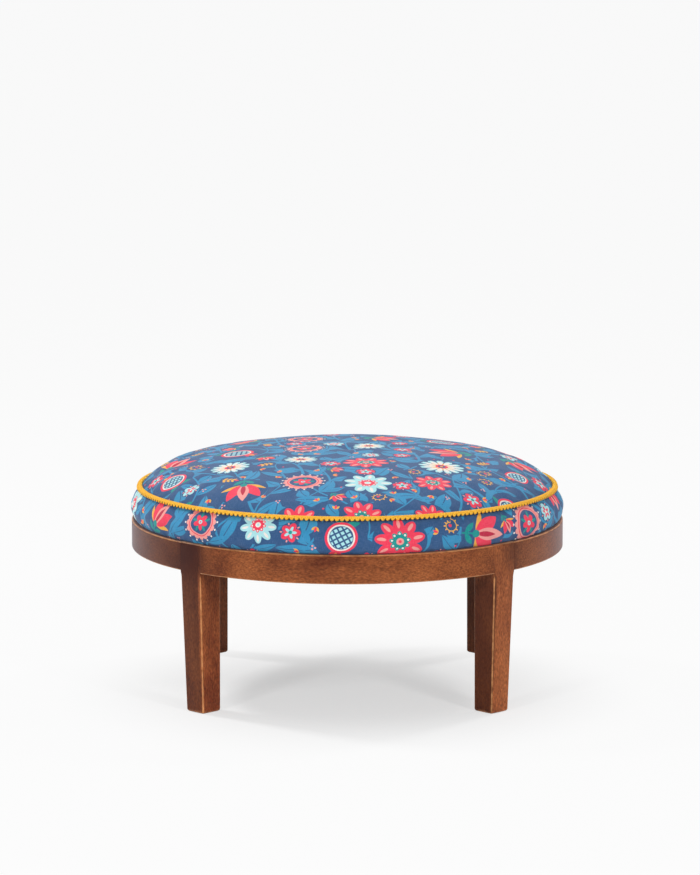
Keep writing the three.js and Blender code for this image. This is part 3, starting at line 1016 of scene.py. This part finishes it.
# %% [markdown]
# ## Stained hardwood
#
# The wood is a fine-grained hardwood with a red-brown walnut stain and a thin satin
# varnish. Its figure is soft: faint growth rings, short dark pores along the grain, and
# broad clouds where the stain took more or less. The edges are lighter, partly where the
# varnish is rubbed through and partly from a painted highlight along them. All of this is
# measured in the board's own coordinates, in metres, so each kind of cloud says how many of
# them there are to a metre along the board, across it and through it. `over` and `under`
# take the edge of a mask and how soft it is.

# %% Stains
deep_stain_and_shade = ink(76, 23, 5)
dark_stain = ink(86, 36, 18)
middle_stain = ink(138, 71, 36)
light_stain = ink(176, 104, 58)
rubbed_edge_highlight = ink(228, 160, 104)
cold_sheen = ink(220, 236, 255)

# %% Wood
satin = 0.42
rings_per_metre = 150
ring_sway = 0.03
pith_across, pith_through = 0.11, 0.07


def walnut_finish():
    """Fine-grained wood under its stain, with growth rings, pores, and rubbed edges that carry a painted
    highlight.
    """
    finish = Finish(
        "stained_walnut",
        satin,
        Specular_IOR_Level=0.12,
        Coat_Weight=0.08,
        Coat_Roughness=0.3,
        Sheen_Weight=0.32,
        Sheen_Tint=cold_sheen,
        Sheen_Roughness=0.35,
    )
    board = finish.kept("grain")
    sway = finish.clouds(board, (5, 9, 9))
    stain = finish.clouds(board, (6, 15, 15), detail=3, roughness=0.55)
    fibre = finish.clouds(board, (30, 900, 900), roughness=0.6)
    streak = finish.clouds(board, (10, 170, 170))
    fleck = finish.clouds(board, (90, 520, 520))
    pores = finish.clouds(board, (130, 1300, 1300), detail=1)
    speckle = finish.clouds(board, (200, 430, 430))
    rub_and_highlight_cloud = finish.clouds(board, (75, 75, 75), detail=3, roughness=0.6)
    from_pith = ((board[1] + pith_across) ** 2.0 + (board[2] + pith_through) ** 2.0).root()
    rings = (from_pith + sway * ring_sway) * rings_per_metre
    ring_line = abs(rings.do("FRACT") - 0.5) * 2
    colour = finish.paint(
        dark_stain,
        (middle_stain, stain.over(0.44, 0.2)),
        (light_stain, stain.over(0.58, 0.24) * 0.8),
        (dark_stain, ring_line.over(0.75, 0.4) * streak * 0.3),
    )
    colour = finish.paint(
        finish.shade(colour, 0.72 + 0.24 * fibre + 0.34 * streak),
        (light_stain, fleck.over(0.6, 0.12) * 0.2),
        (dark_stain, pores.under(0.37, 0.05) * 0.35),
    )
    colour = finish.shade(colour, 0.1 + 1.8 * speckle)
    # The tone holds each piece's stain and, on the legs, painted light and shade. Where it is low, the
    # colour is deepened towards red-brown, for stain and painted shade alike.
    tone = finish.kept_number("tone")
    # Lighter edges: the varnish rubbed through, and a painted highlight along them
    rub_and_highlight = finish.kept_number("wear_and_highlight") * (rub_and_highlight_cloud * 1.6 - 0.1)
    colour = finish.paint(
        finish.shade(colour, tone),
        (deep_stain_and_shade, tone.under(0.55, 0.25) * 0.55),
        (rubbed_edge_highlight, rub_and_highlight.over(0.52, 0.35) * 0.8),
    )
    gloss = satin - 0.05 + 0.16 * fibre + 0.08 * stain
    relief = fibre * 0.5 + pores.over(0.36, 0.06) * 0.5
    return finish.finish_with(colour, gloss, relief, strength=0.16, depth=0.25 * mm)


walnut = walnut_finish()
for piece in rails + legs:
    piece.data.materials.append(walnut)
print("walnut nodes:", len(walnut.node_tree.nodes))

# %% [markdown]
# ## The printed cotton: ground and leaves
#
# The cloth is a navy cotton with the look of linen: the threads are uneven, so the ground is
# mottled along and across. The print here is a generic one of flowers strewn in loose cells,
# in the same family of colours. It is laid out flat in millimetres, as a printer would:
# first leafy stems in mid blue, which run up the cloth in waves, with almond leaves on
# both sides.

# %% Inks
navy = ink(50, 88, 134)
leaf_blue = ink(56, 148, 194)
coral = ink(250, 62, 90)
deep_red = ink(198, 36, 66)
aqua = ink(178, 232, 236)
cream = ink(246, 240, 232)
peach = ink(252, 164, 156)
teal = ink(20, 152, 146)
gold = ink(250, 184, 72)

# %% Leafy stems
stem_wave_length = 190
leaf_pitch = 46
leaf_start = 16
leaf_length = 38
leaf_half_width = 8
leaf_curl = 2.4
leaf_lean = math.radians(38)
climb_by_strip, climb_by_side = 37, 13
stem_half_width, stem_swelling = 1.5, 0.4


def leafy_stems(finish, colour, x, y, spacing, sway):
    """Waving stems with almond leaves, one stem in each strip of the cloth."""
    strip_x = x + (y * (2 * math.pi / stem_wave_length)).sine() * sway
    strip = (strip_x / spacing).do("FLOOR")
    off = strip_x - (strip + 0.5) * spacing
    out = abs(off)
    climb = y + strip * climb_by_strip + off.do("SIGN") * climb_by_side
    up = climb.do("FLOORED_MODULO", leaf_pitch) - leaf_start
    along = out * math.cos(leaf_lean) + up * math.sin(leaf_lean)
    across = up * math.cos(leaf_lean) - out * math.sin(leaf_lean)
    bow = (along.do("DIVIDE", leaf_length, clamp=True) * math.pi).sine()
    from_rib = abs(across + bow * leaf_curl)
    leaf = from_rib.under(bow ** 0.85 * leaf_half_width, 0.35) * from_rib.over(0.5, 0.25)
    leaf = leaf * along.under(leaf_length) * along.over(1)
    stem = out.under(stem_half_width + (y * 0.05).sine() * stem_swelling)
    return finish.paint(colour, (leaf_blue, leaf.do("MAXIMUM", stem)))


# %% [markdown]
# ## The printed cotton: flowers
#
# Flowers sit in loose cells. A Voronoi texture gives each point the middle of its cell and a
# few random numbers, so one drawing serves for every flower of a kind, and each has its
# own turn. A petal is an ellipse in coordinates folded round the middle: `PINGPONG` folds
# the full turn into one half petal, and everything drawn there is repeated all the way
# round. A flower is a list of inks, each with the mask that it is printed through, from the
# bottom one up.

# %% Cells of the flowers
def flower_cells(finish, x, y, layer):
    """The cells of one layer of flowers. A layer is its spacing, its looseness and its seed."""
    spacing, looseness, seed = layer
    place = finish.join(x + seed, y - seed)
    sources = {"Vector": place, "Scale": 1 / spacing, "Randomness": looseness}
    return finish.node("ShaderNodeTexVoronoi", sources, voronoi_dimensions="2D").outputs


# %% A flower's own place and petals
class Spot:
    """A flower's own coordinates: x and y from its middle, distance and angle."""

    def __init__(self, finish, x, y, layer, uneven=0.0):
        self.finish = finish
        cells = flower_cells(finish, x, y, layer)
        middle_x, middle_y, _ = finish.split(cells["Position"])
        self.middle = (middle_x - layer[2], middle_y + layer[2])
        self.kind, size_chance, turn = finish.split(cells["Color"])
        shrink = 1 + uneven * (size_chance - 0.35)
        across, up = (x - self.middle[0]) * shrink, (y - self.middle[1]) * shrink
        angle = turn * (2 * math.pi)
        cosine, sine = angle.cosine(), angle.sine()
        self.x = across * cosine - up * sine
        self.y = across * sine + up * cosine
        self.distance = (self.x * self.x + self.y * self.y).root()
        self.angle = self.y.do("ARCTAN2", self.x)

    def folded(self, count, turn=0.0):
        """Coordinates along and across one of a number of petals."""
        near = (self.angle + turn).do("PINGPONG", math.pi / count)
        return self.distance * near.cosine(), self.distance * near.sine()

    def oval(self, fold, at, long, wide):
        """A mask of an ellipse on each fold. long and wide are its reach from its own middle."""
        a = (fold[0] - at) * (1 / long)
        b = fold[1] * (1 / wide)
        return (a * a + b * b).under(1, 0.35 / min(long, wide))

    def almond(self, foot, lean, long, wide):
        """A pointed petal or leaf on both sides, from a foot on the middle line. lean is in degrees."""
        lean = math.radians(lean)
        x, y = abs(self.x), self.y - foot
        along = x * math.sin(lean) + y * math.cos(lean)
        across = abs(x * math.cos(lean) - y * math.sin(lean))
        bow = (along.do("DIVIDE", long, clamp=True) * math.pi).sine() ** 0.8
        return across.under(bow * wide) * along.over(0.3) * along.under(long)

    def disc(self, radius):
        return self.distance.under(radius)

    def ring(self, radius, half_width):
        return abs(self.distance - radius).under(half_width)

    def chosen(self, low, high):
        """1 for the flowers whose random number falls between two shares."""
        return self.kind.do("GREATER_THAN", low) * self.kind.do("LESS_THAN", high)

    def far_from(self, layer, gap):
        """1 for a flower whose middle is far enough from the flowers of another layer."""
        cells = flower_cells(self.finish, *self.middle, layer)
        return Measure(self.finish, cells["Distance"]).over(gap / layer[0], 0.001)


# %% Large flowers
def rosette(spot, petal, heart, mark):
    """Rounded petals round a scalloped heart."""
    petals = spot.folded(9)
    return [
        (petal, spot.oval(petals, at=21, long=13.5, wide=7.6)),
        (petal, spot.disc(17)),
        (mark, spot.oval(petals, at=25, long=6.5, wide=2.4)),
        (heart, spot.oval(petals, at=8, long=6.5, wide=3.6)),
        (cream, spot.oval(petals, at=11, long=1.5, wide=1.5)),
        (mark, spot.disc(5)),
        (petal, spot.disc(2.2)),
    ]


def star_daisy(spot):
    """Pale petals with coloured tips, and a dotted eye."""
    petals = spot.folded(13)
    between = spot.folded(13, math.pi / 13)
    return [
        (aqua, spot.oval(petals, at=25, long=9, wide=5)),
        (navy, spot.oval(petals, at=35.5, long=4, wide=1.6)),
        (cream, spot.oval(petals, at=17, long=11, wide=3.7)),
        (gold, spot.oval(between, at=13, long=6, wide=1.1)),
        (coral, spot.disc(9.5)),
        (navy, spot.disc(6)),
        (gold, spot.disc(2.5)),
    ]


def wreath(spot):
    """A band with a scalloped edge and dots round it, and a small flower inside."""
    edge = spot.folded(16)
    leaves = spot.folded(5, math.pi / 5)
    return [
        (peach, spot.oval(edge, at=28, long=3.6, wide=4.6)),
        (peach, spot.ring(25, 3.6)),
        (coral, spot.ring(24.4, 0.8)),
        (cream, spot.oval(edge, at=34.2, long=1.7, wide=1.7)),
        (teal, spot.oval(leaves, at=13.5, long=5.5, wide=2.3)),
        (coral, spot.oval(spot.folded(5), at=8.5, long=6.5, wide=4.4)),
        (aqua, spot.disc(3.6)),
        (coral, spot.disc(1.5)),
    ]


# %% Fruit and tulip
def pomegranate(spot):
    """A round fruit with a netted middle, a crown of sepals and two leaves."""
    x, y = spot.x, spot.y + 3
    body = (x * x * (1 / 23 ** 2) + y * y * (1 / 24 ** 2)).root()
    net = (spot.x + spot.y).do("PINGPONG", 5).do("MAXIMUM", (spot.x - spot.y).do("PINGPONG", 5))
    rim = 0.014
    return [
        (teal, spot.almond(foot=-22, lean=118, long=22, wide=4.6)),
        (gold, spot.almond(foot=17, lean=0, long=18, wide=3.4)),
        (coral, spot.almond(foot=17, lean=34, long=17, wide=3.4)),
        (coral, body.under(1, rim)),
        (cream, body.under(0.84, rim)),
        (navy, body.under(0.74, rim)),
        (aqua, net.under(3.3) * body.under(0.7, rim)),
    ]


def tulip(spot, size):
    """Pointed petals in a cup, on a stem with two leaves."""
    foot_y = spot.y + 12 * size
    foot = (spot.x * spot.x + foot_y * foot_y).root().under(5 * size)
    stem = abs(spot.x).under(1.1 * size) * spot.y.under(-8 * size) * spot.y.over(-33 * size)
    shapes = [
        (teal, -28, 48, 19, 3.6),
        (gold, -13, 68, 33, 3.6),
        (coral, -14, 33, 42, 9),
        (peach, -14, 0, 44, 8),
        (deep_red, -12, 0, 30, 3.4),
    ]
    petals = [
        (petal, spot.almond(foot=start * size, lean=lean, long=long * size, wide=wide * size))
        for petal, start, lean, long, wide in shapes
    ]
    return [(teal, stem), *petals, (teal, foot)]


# %% Small flowers
def five_petals(spot, petal, star, heart):
    """A small flower with a star in it and a dot between each two petals."""
    five = spot.folded(5)
    return [
        (peach, spot.oval(spot.folded(5, math.pi / 5), at=14.5, long=2.2, wide=1.2)),
        (petal, spot.oval(five, at=9, long=6.8, wide=5.6)),
        (star, spot.oval(five, at=5.5, long=4.6, wide=2.2)),
        (heart, spot.disc(2.8)),
    ]


def leafy_sprig(spot):
    """A thin stem with pairs of small leaves and a bud at its tip."""
    leaves = [(gold, spot.almond(foot, lean=52, long=10, wide=2.3)) for foot in (-11, -3.5, 4)]
    stem = abs(spot.x).under(0.6) * abs(spot.y).under(13)
    return [(gold, stem), *leaves, (coral, spot.almond(foot=8, lean=0, long=9, wide=2.8))]


def curled_tendril(spot):
    """A gold spiral with short leaves on its outside and a bud in its middle."""
    winding = 5 + (spot.angle * (1 / (2 * math.pi)) + 0.5) * 8
    line = abs(spot.distance - winding).under(0.75)
    along, across = spot.folded(10)
    away = (along - winding - 1.6) * (1 / 2.6)
    leaf = (away * away + across * across * 0.8).under(1, 0.3)
    return [(gold, line.do("MAXIMUM", leaf)), (coral, spot.disc(2.8))]


def little_marks(spot):
    """Clusters of three dots, small buds and single dots that fill the gaps."""
    bud_here = spot.chosen(0.25, 0.66)
    return [
        (peach, spot.oval(spot.folded(3), at=3, long=1.5, wide=1.5) * spot.chosen(-1, 0.25)),
        (gold, spot.almond(foot=-4, lean=40, long=9, wide=2) * bud_here),
        (coral, spot.almond(foot=-4, lean=0, long=9, wide=2) * bud_here),
        (coral, spot.disc(1.7) * spot.chosen(0.66, 2)),
    ]


# %% [markdown]
# ## The printed cotton: laying out the print
#
# The layers go on as a screen printer lays them: stems first, then a ground-coloured margin
# round each flower, then the flowers from the small ones to the large ones. Which kind of
# flower a cell gets is one of its random numbers, cut into shares. Small flowers whose
# middle would touch a large one are left out. Last come the threads: fine ones for the
# relief, and long uneven ones that also tint the ground.

# %% Layout of the print
large_layer = (112, 0.32, 2441)
small_layer = (58, 0.4, 611)
mark_layer = (30, 0.5, 1613)
large_margin, small_margin = 37.5, 17


def lay_print(finish, x, y):
    """The colour of the print at a place on the flat cloth, in millimetres."""
    large = Spot(finish, x, y, large_layer, uneven=0.4)
    small = Spot(finish, x, y, small_layer, uneven=0.2)
    marks = Spot(finish, x, y, mark_layer)
    small_free = small.far_from(large_layer, gap=49)
    mark_free = marks.far_from(large_layer, gap=41) * marks.far_from(small_layer, gap=23)
    # Two sets of stems: a larger one that leans left and a smaller one that leans right
    colour = leafy_stems(finish, navy, x * 0.6 + y * 0.35, y * 0.6 - x * 0.35, spacing=74, sway=14)
    slant_x, slant_y = x * 0.95 - y * 0.2 + 30, y * 0.95 + x * 0.2
    colour = leafy_stems(finish, colour, slant_x, slant_y, spacing=70, sway=17)
    # Every flower with the share of its cells that show it
    groups = [
        (small_free, [(navy, small.disc(small_margin))]),
        (1.0, [(navy, large.disc(large_margin))]),
        (mark_free, little_marks(marks)),
        (small_free * small.chosen(-1, 0.3), five_petals(small, coral, aqua, teal)),
        (small_free * small.chosen(0.3, 0.5), five_petals(small, aqua, coral, cream)),
        (small_free * small.chosen(0.5, 0.7), tulip(small, size=0.55)),
        (small_free * small.chosen(0.7, 0.85), leafy_sprig(small)),
        (small_free * small.chosen(0.85, 2), curled_tendril(small)),
        (large.chosen(-1, 0.26), rosette(large, coral, teal, peach)),
        (large.chosen(0.26, 0.34), rosette(large, aqua, coral, cream)),
        (large.chosen(0.34, 0.44), star_daisy(large)),
        (large.chosen(0.44, 0.64), wreath(large)),
        (large.chosen(0.64, 0.8), pomegranate(large)),
        (large.chosen(0.8, 2), tulip(large, size=1.12)),
    ]
    for shown, flower in groups:
        colour = finish.paint(colour, *[(flower_ink, mask * shown) for flower_ink, mask in flower])
    return colour


# %% Threads
thread_pitch = 0.75
faded_ink = ink(150, 165, 190)


def weave(finish, x, y, colour):
    """The colour with uneven threads in it, and the relief of the weave."""
    warp = finish.clouds((x, y), (1.5, 0.12))
    weft = finish.clouds((x, y, 9.0), (0.12, 1.5, 1))
    patch = finish.clouds((x, y), (0.05, 0.05), detail=3)
    slub = warp + weft
    colour = finish.shade(colour, 0.72 + slub * 0.28)
    faded = slub.over(1.12, 0.12) * 0.11 + patch.over(0.5, 0.2) * 0.04
    thread = math.pi / thread_pitch
    over_under = (x * thread).sine() * (y * thread).sine()
    return finish.paint(colour, (faded_ink, faded)), over_under * 0.35 + slub * 0.5


# %% Cotton
side_shift, side_print_top = 60, 353


def cotton_finish(name, round_the_side):
    """The printed cotton, for the flat top panel or for the strip round the side."""
    finish = Finish(name, 0.86, Specular_IOR_Level=0.15, Sheen_Weight=0.16, Sheen_Roughness=0.5)
    x, y, down = finish.kept("cloth_place")
    if round_the_side:
        turn = x.do("ARCTAN2", y * -1)
        x, y = turn * (seam_radius * to_mm) + side_shift, side_print_top - down
    rough_edge = finish.clouds((x, y), (0.9, 0.9), detail=1) * 0.9
    colour = lay_print(finish, x + rough_edge, y + rough_edge)
    colour, relief = weave(finish, x, y, colour)
    return finish.finish_with(colour, 0.8 + relief * 0.1, relief, strength=0.35)


top_cotton = cotton_finish("printed_cotton_top", False)
side_cotton = cotton_finish("printed_cotton_side", True)
top_panel.data.materials.append(top_cotton)
side_strip.data.materials.append(side_cotton)
print("cotton nodes:", len(top_cotton.node_tree.nodes))

# %% [markdown]
# ## The braid's yarn
#
# The braid is soft cotton yarn with a little sheen. Fine slanting lines across the roll are
# the plaited yarn, and fuzz makes it deeper in some patches and paler in others, where
# glints are painted as well. The notches between the scallops are painted dark for their shade.

# %% Braid finish
plait_pitch = 1.32
plait_slant, counter_slant = 0.9, 1.4
yarn_yellow = ink(255, 190, 14)
plait_orange = ink(255, 150, 4)
deep_fuzz = ink(244, 132, 8)
pale_fuzz_and_glint = ink(255, 224, 120)
notch_shade_ink = ink(20, 12, 12)


def braid_finish():
    finish = Finish(
        "yellow_braid",
        0.62,
        Specular_IOR_Level=0.38,
        Sheen_Weight=0.75,
        Sheen_Roughness=0.45,
        Sheen_Tint=ink(255, 196, 70),
    )
    x, y, round_roll = finish.kept("braid_place")
    along = x.do("ARCTAN2", y * -1) * (seam_radius * to_mm)
    plait = ((along + round_roll * plait_slant) * (2 * math.pi / plait_pitch)).sine()
    counter = ((along - round_roll * counter_slant) * (math.pi / plait_pitch)).sine()
    fuzz = finish.clouds((along, round_roll), (0.55, 0.9), detail=3)
    notch_shade_mask = finish.kept_number("notch_shade_mask")
    # The pale fuzz also paints glints, and the notch layer paints the shade between the scallops
    colour = finish.paint(
        yarn_yellow,
        (plait_orange, plait.over(0.3, 0.8) * 0.45),
        (deep_fuzz, fuzz.under(0.42, 0.1) * 0.5),
        (pale_fuzz_and_glint, fuzz.over(0.55, 0.1) * 0.5),
        (notch_shade_ink, notch_shade_mask.over(0.25, 0.14) * 0.98),
    )
    relief = plait * 0.5 + counter * 0.3 + fuzz * 0.3
    return finish.finish_with(colour, 0.55 + fuzz * 0.2, relief, strength=0.45, depth=0.35 * mm)


yarn = braid_finish()
braid.data.materials.append(yarn)
print("yarn nodes:", len(yarn.node_tree.nodes))

# %% [markdown]
# ## Finishes for the parts underneath
#
# The corner blocks and dowels are plain beech, the seat board is birch plywood, the screws
# are bright zinc and the dust cover is black cambric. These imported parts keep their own
# shapes. They carry no grain coordinates, so their finishes measure from the object's
# own place: beech has short flecks, plywood shows its layers by height, and zinc is
# slightly clouded.

# %% Beech, plywood and zinc
ply_thickness = 1.5 * mm
board_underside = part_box("seat_board")[0].z
beech_dark, beech_pale, beech_fleck = ink(190, 148, 104), ink(222, 186, 142), ink(150, 106, 70)
birch_pale, birch_edge = ink(214, 180, 134), ink(176, 134, 90)
zinc_blue, zinc_warm = ink(176, 178, 184), ink(206, 204, 196)


def beech_finish():
    finish = Finish("pale_beech", 0.6, Specular_IOR_Level=0.35)
    place = finish.own_place()
    growth = finish.clouds(place, (14, 14, 260), detail=3)
    fleck = finish.clouds(place, (160, 160, 1300), detail=1)
    flecked = (beech_fleck, fleck.over(0.62, 0.06) * 0.5)
    colour = finish.paint(beech_dark, (beech_pale, growth), flecked)
    return finish.finish_with(colour, 0.5 + growth * 0.2, fleck, strength=0.12)


def plywood_finish():
    finish = Finish("birch_plywood", 0.65, Specular_IOR_Level=0.3)
    place = finish.own_place()
    ply = ((place[2] - board_underside) * (math.pi / ply_thickness)).sine()
    grain = finish.clouds(place, (8, 130, 900), detail=3)
    colour = finish.paint(birch_pale, (birch_edge, ply.over(0, 0.3) * 0.6))
    colour = finish.shade(colour, 0.8 + grain * 0.35)
    return finish.finish_with(colour, 0.6 + grain * 0.15, grain, strength=0.15)


def zinc_finish():
    finish = Finish("zinc_steel", 0.32, Metallic=1.0)
    place = finish.own_place()
    cloud = finish.clouds(place, (700, 700, 700))
    scratch = finish.clouds(place, (3000, 3000, 400), detail=1)
    colour = finish.paint(zinc_blue, (zinc_warm, cloud))
    return finish.finish_with(colour, 0.24 + cloud * 0.2, scratch, strength=0.08)


# %% Cambric
cambric_pitch = 1.1
cambric_black, cambric_grey = ink(22, 22, 25), ink(46, 46, 50)


def cambric_finish():
    finish = Finish("black_cambric", 0.92, Specular_IOR_Level=0.2, Sheen_Weight=0.1)
    x, y, _ = finish.kept("cloth_place")
    thread = math.pi / cambric_pitch
    lint = finish.clouds((x, y), (0.7, 0.7), detail=4)
    colour = finish.paint(cambric_black, (cambric_grey, lint.over(0.5, 0.3)))
    relief = (x * thread).sine() * (y * thread).sine() * 0.5 + lint * 0.5
    return finish.finish_with(colour, 0.88 + lint * 0.1, relief, strength=0.3)


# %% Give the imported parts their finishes
beech = beech_finish()
under_finishes = {
    "corner_block": beech,
    "dowel": beech,
    "seat_board": plywood_finish(),
    "screw": zinc_finish(),
}
for node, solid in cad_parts.items():
    for word, finish in under_finishes.items():
        if word in node:
            solid.data.materials.clear()
            solid.data.materials.append(finish)
dust_cover.data.materials.append(cambric_finish())
print("packed parts with a finish:", sum(any(w in n for w in under_finishes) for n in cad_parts))

# %% [markdown]
# ## Floor and light
#
# The picture is a plain white sweep. A pale dome gives soft light from all round, and four
# small square lamps shape it: two low ones in front, and two high ones behind, which throw
# the pale shadow forward under the cushion. The floor is a wide white plane. For the camera
# it is mixed with some plain white, which lifts its tone to paper white and leaves a soft
# pale shadow. Seen from below it is clear, so that the underside can be looked at.

# %% Floor
floor_half = 60.0
lift_middle = (0, -0.1, 0)
lift_near, lift_far = 0.52, 0.96
lift_from, lift_to = 0.15, 0.5
paper_white = 0.972
paper = (paper_white, paper_white, paper_white, 1)
floor_paint = (0.92, 0.92, 0.92, 1)


def fade(tree, value, low, high, at_low, at_high):
    """A node that goes smoothly from one number to another while a value rises."""
    sources = {0: value, 1: low, 2: high, 3: at_low, 4: at_high}
    return add_node(tree, "ShaderNodeMapRange", sources, interpolation_type="SMOOTHSTEP")


def mix_shaders(tree, share, first, second):
    return add_node(tree, "ShaderNodeMixShader", {0: share, 1: first, 2: second})


def make_floor():
    corners = [[(-1, -1, 0), (1, -1, 0)], [(-1, 1, 0), (1, 1, 0)]]
    floor = skin("floor", np.array(corners) * floor_half)
    material = bpy.data.materials.new("white_sweep")
    tree = empty_tree(material)
    diffuse = add_node(tree, "ShaderNodeBsdfDiffuse", {"Color": floor_paint})
    lift = add_node(tree, "ShaderNodeEmission", {"Color": paper})
    clear = add_node(tree, "ShaderNodeBsdfTransparent")
    seen = add_node(tree, "ShaderNodeLightPath").outputs["Is Camera Ray"]
    place = add_node(tree, "ShaderNodeNewGeometry").outputs
    ends = {0: place["Position"], 1: lift_middle}
    away = add_node(tree, "ShaderNodeVectorMath", ends, operation="DISTANCE").outputs["Value"]
    spread = fade(tree, away, lift_from, lift_to, lift_near, lift_far)
    lifted = add_node(tree, "ShaderNodeMath", {0: seen, 1: spread}, operation="MULTIPLY")
    below = add_node(tree, "ShaderNodeMath", {0: seen, 1: place["Backfacing"]}, operation="MULTIPLY")
    whole = mix_shaders(tree, below, mix_shaders(tree, lifted, diffuse, lift), clear)
    add_node(tree, "ShaderNodeOutputMaterial", {"Surface": whole})
    floor.data.materials.append(material)


make_floor()
print("floor:", 2 * floor_half, "m across")

# %% World
dome_strength = 0.36
dome_tint = (0.97, 0.985, 1, 1)
room_tone = 0.25
room_from, room_to = -0.35, 0.25


def make_world():
    """Even light from all round. Gloss shows a white sweep behind and a dim room in front."""
    world = bpy.data.worlds.new("studio")
    bpy.context.scene.world = world
    tree = empty_tree(world)
    dome = add_node(tree, "ShaderNodeBackground", {"Color": dome_tint, "Strength": dome_strength})
    sweep = add_node(tree, "ShaderNodeBackground", {"Color": paper})
    direction = add_node(tree, "ShaderNodeTexCoord").outputs["Generated"]
    depth = add_node(tree, "ShaderNodeSeparateXYZ", {0: direction}).outputs["Y"]
    room = fade(tree, depth, room_from, room_to, room_tone, paper_white)
    mirrored = add_node(tree, "ShaderNodeBackground", {"Strength": room})
    path = add_node(tree, "ShaderNodeLightPath").outputs
    bounced = {0: path["Is Glossy Ray"], 1: path["Is Transmission Ray"]}
    gloss = add_node(tree, "ShaderNodeMath", bounced, operation="MAXIMUM")
    lit = mix_shaders(tree, gloss, dome, mirrored)
    whole = mix_shaders(tree, path["Is Camera Ray"], lit, sweep)
    add_node(tree, "ShaderNodeOutputWorld", {"Surface": whole})


make_world()
print("dome strength:", dome_strength)

# %% Lamps
lamp_distance = 3.6
lamp_size = 0.45
lamp_aim = Vector((0, 0, 0.2))


def make_lamp(name, azimuth, elevation, power):
    """A square soft lamp that faces the cushion. Angles are in degrees, from +X and from level."""
    rise = math.radians(elevation)
    data = bpy.data.lights.new(name, "AREA")
    data.size = lamp_size
    data.energy = power
    lamp = bpy.data.objects.new(name, data)
    level = compass(math.radians(azimuth)) * math.cos(rise)
    away = Vector((level[0], level[1], math.sin(rise)))
    lamp.location = lamp_aim + away * lamp_distance
    lamp.rotation_euler = away.to_track_quat("Z", "Y").to_euler()
    bpy.context.scene.collection.objects.link(lamp)


make_lamp("front_left", azimuth=240, elevation=21, power=31)
make_lamp("front_right", azimuth=302, elevation=30, power=29)
make_lamp("rear_right", azimuth=40, elevation=45, power=33)
make_lamp("rear_left", azimuth=152, elevation=46, power=57)
bpy.context.scene.view_settings.view_transform = "Standard"
print("lamps:", len(bpy.data.lights))
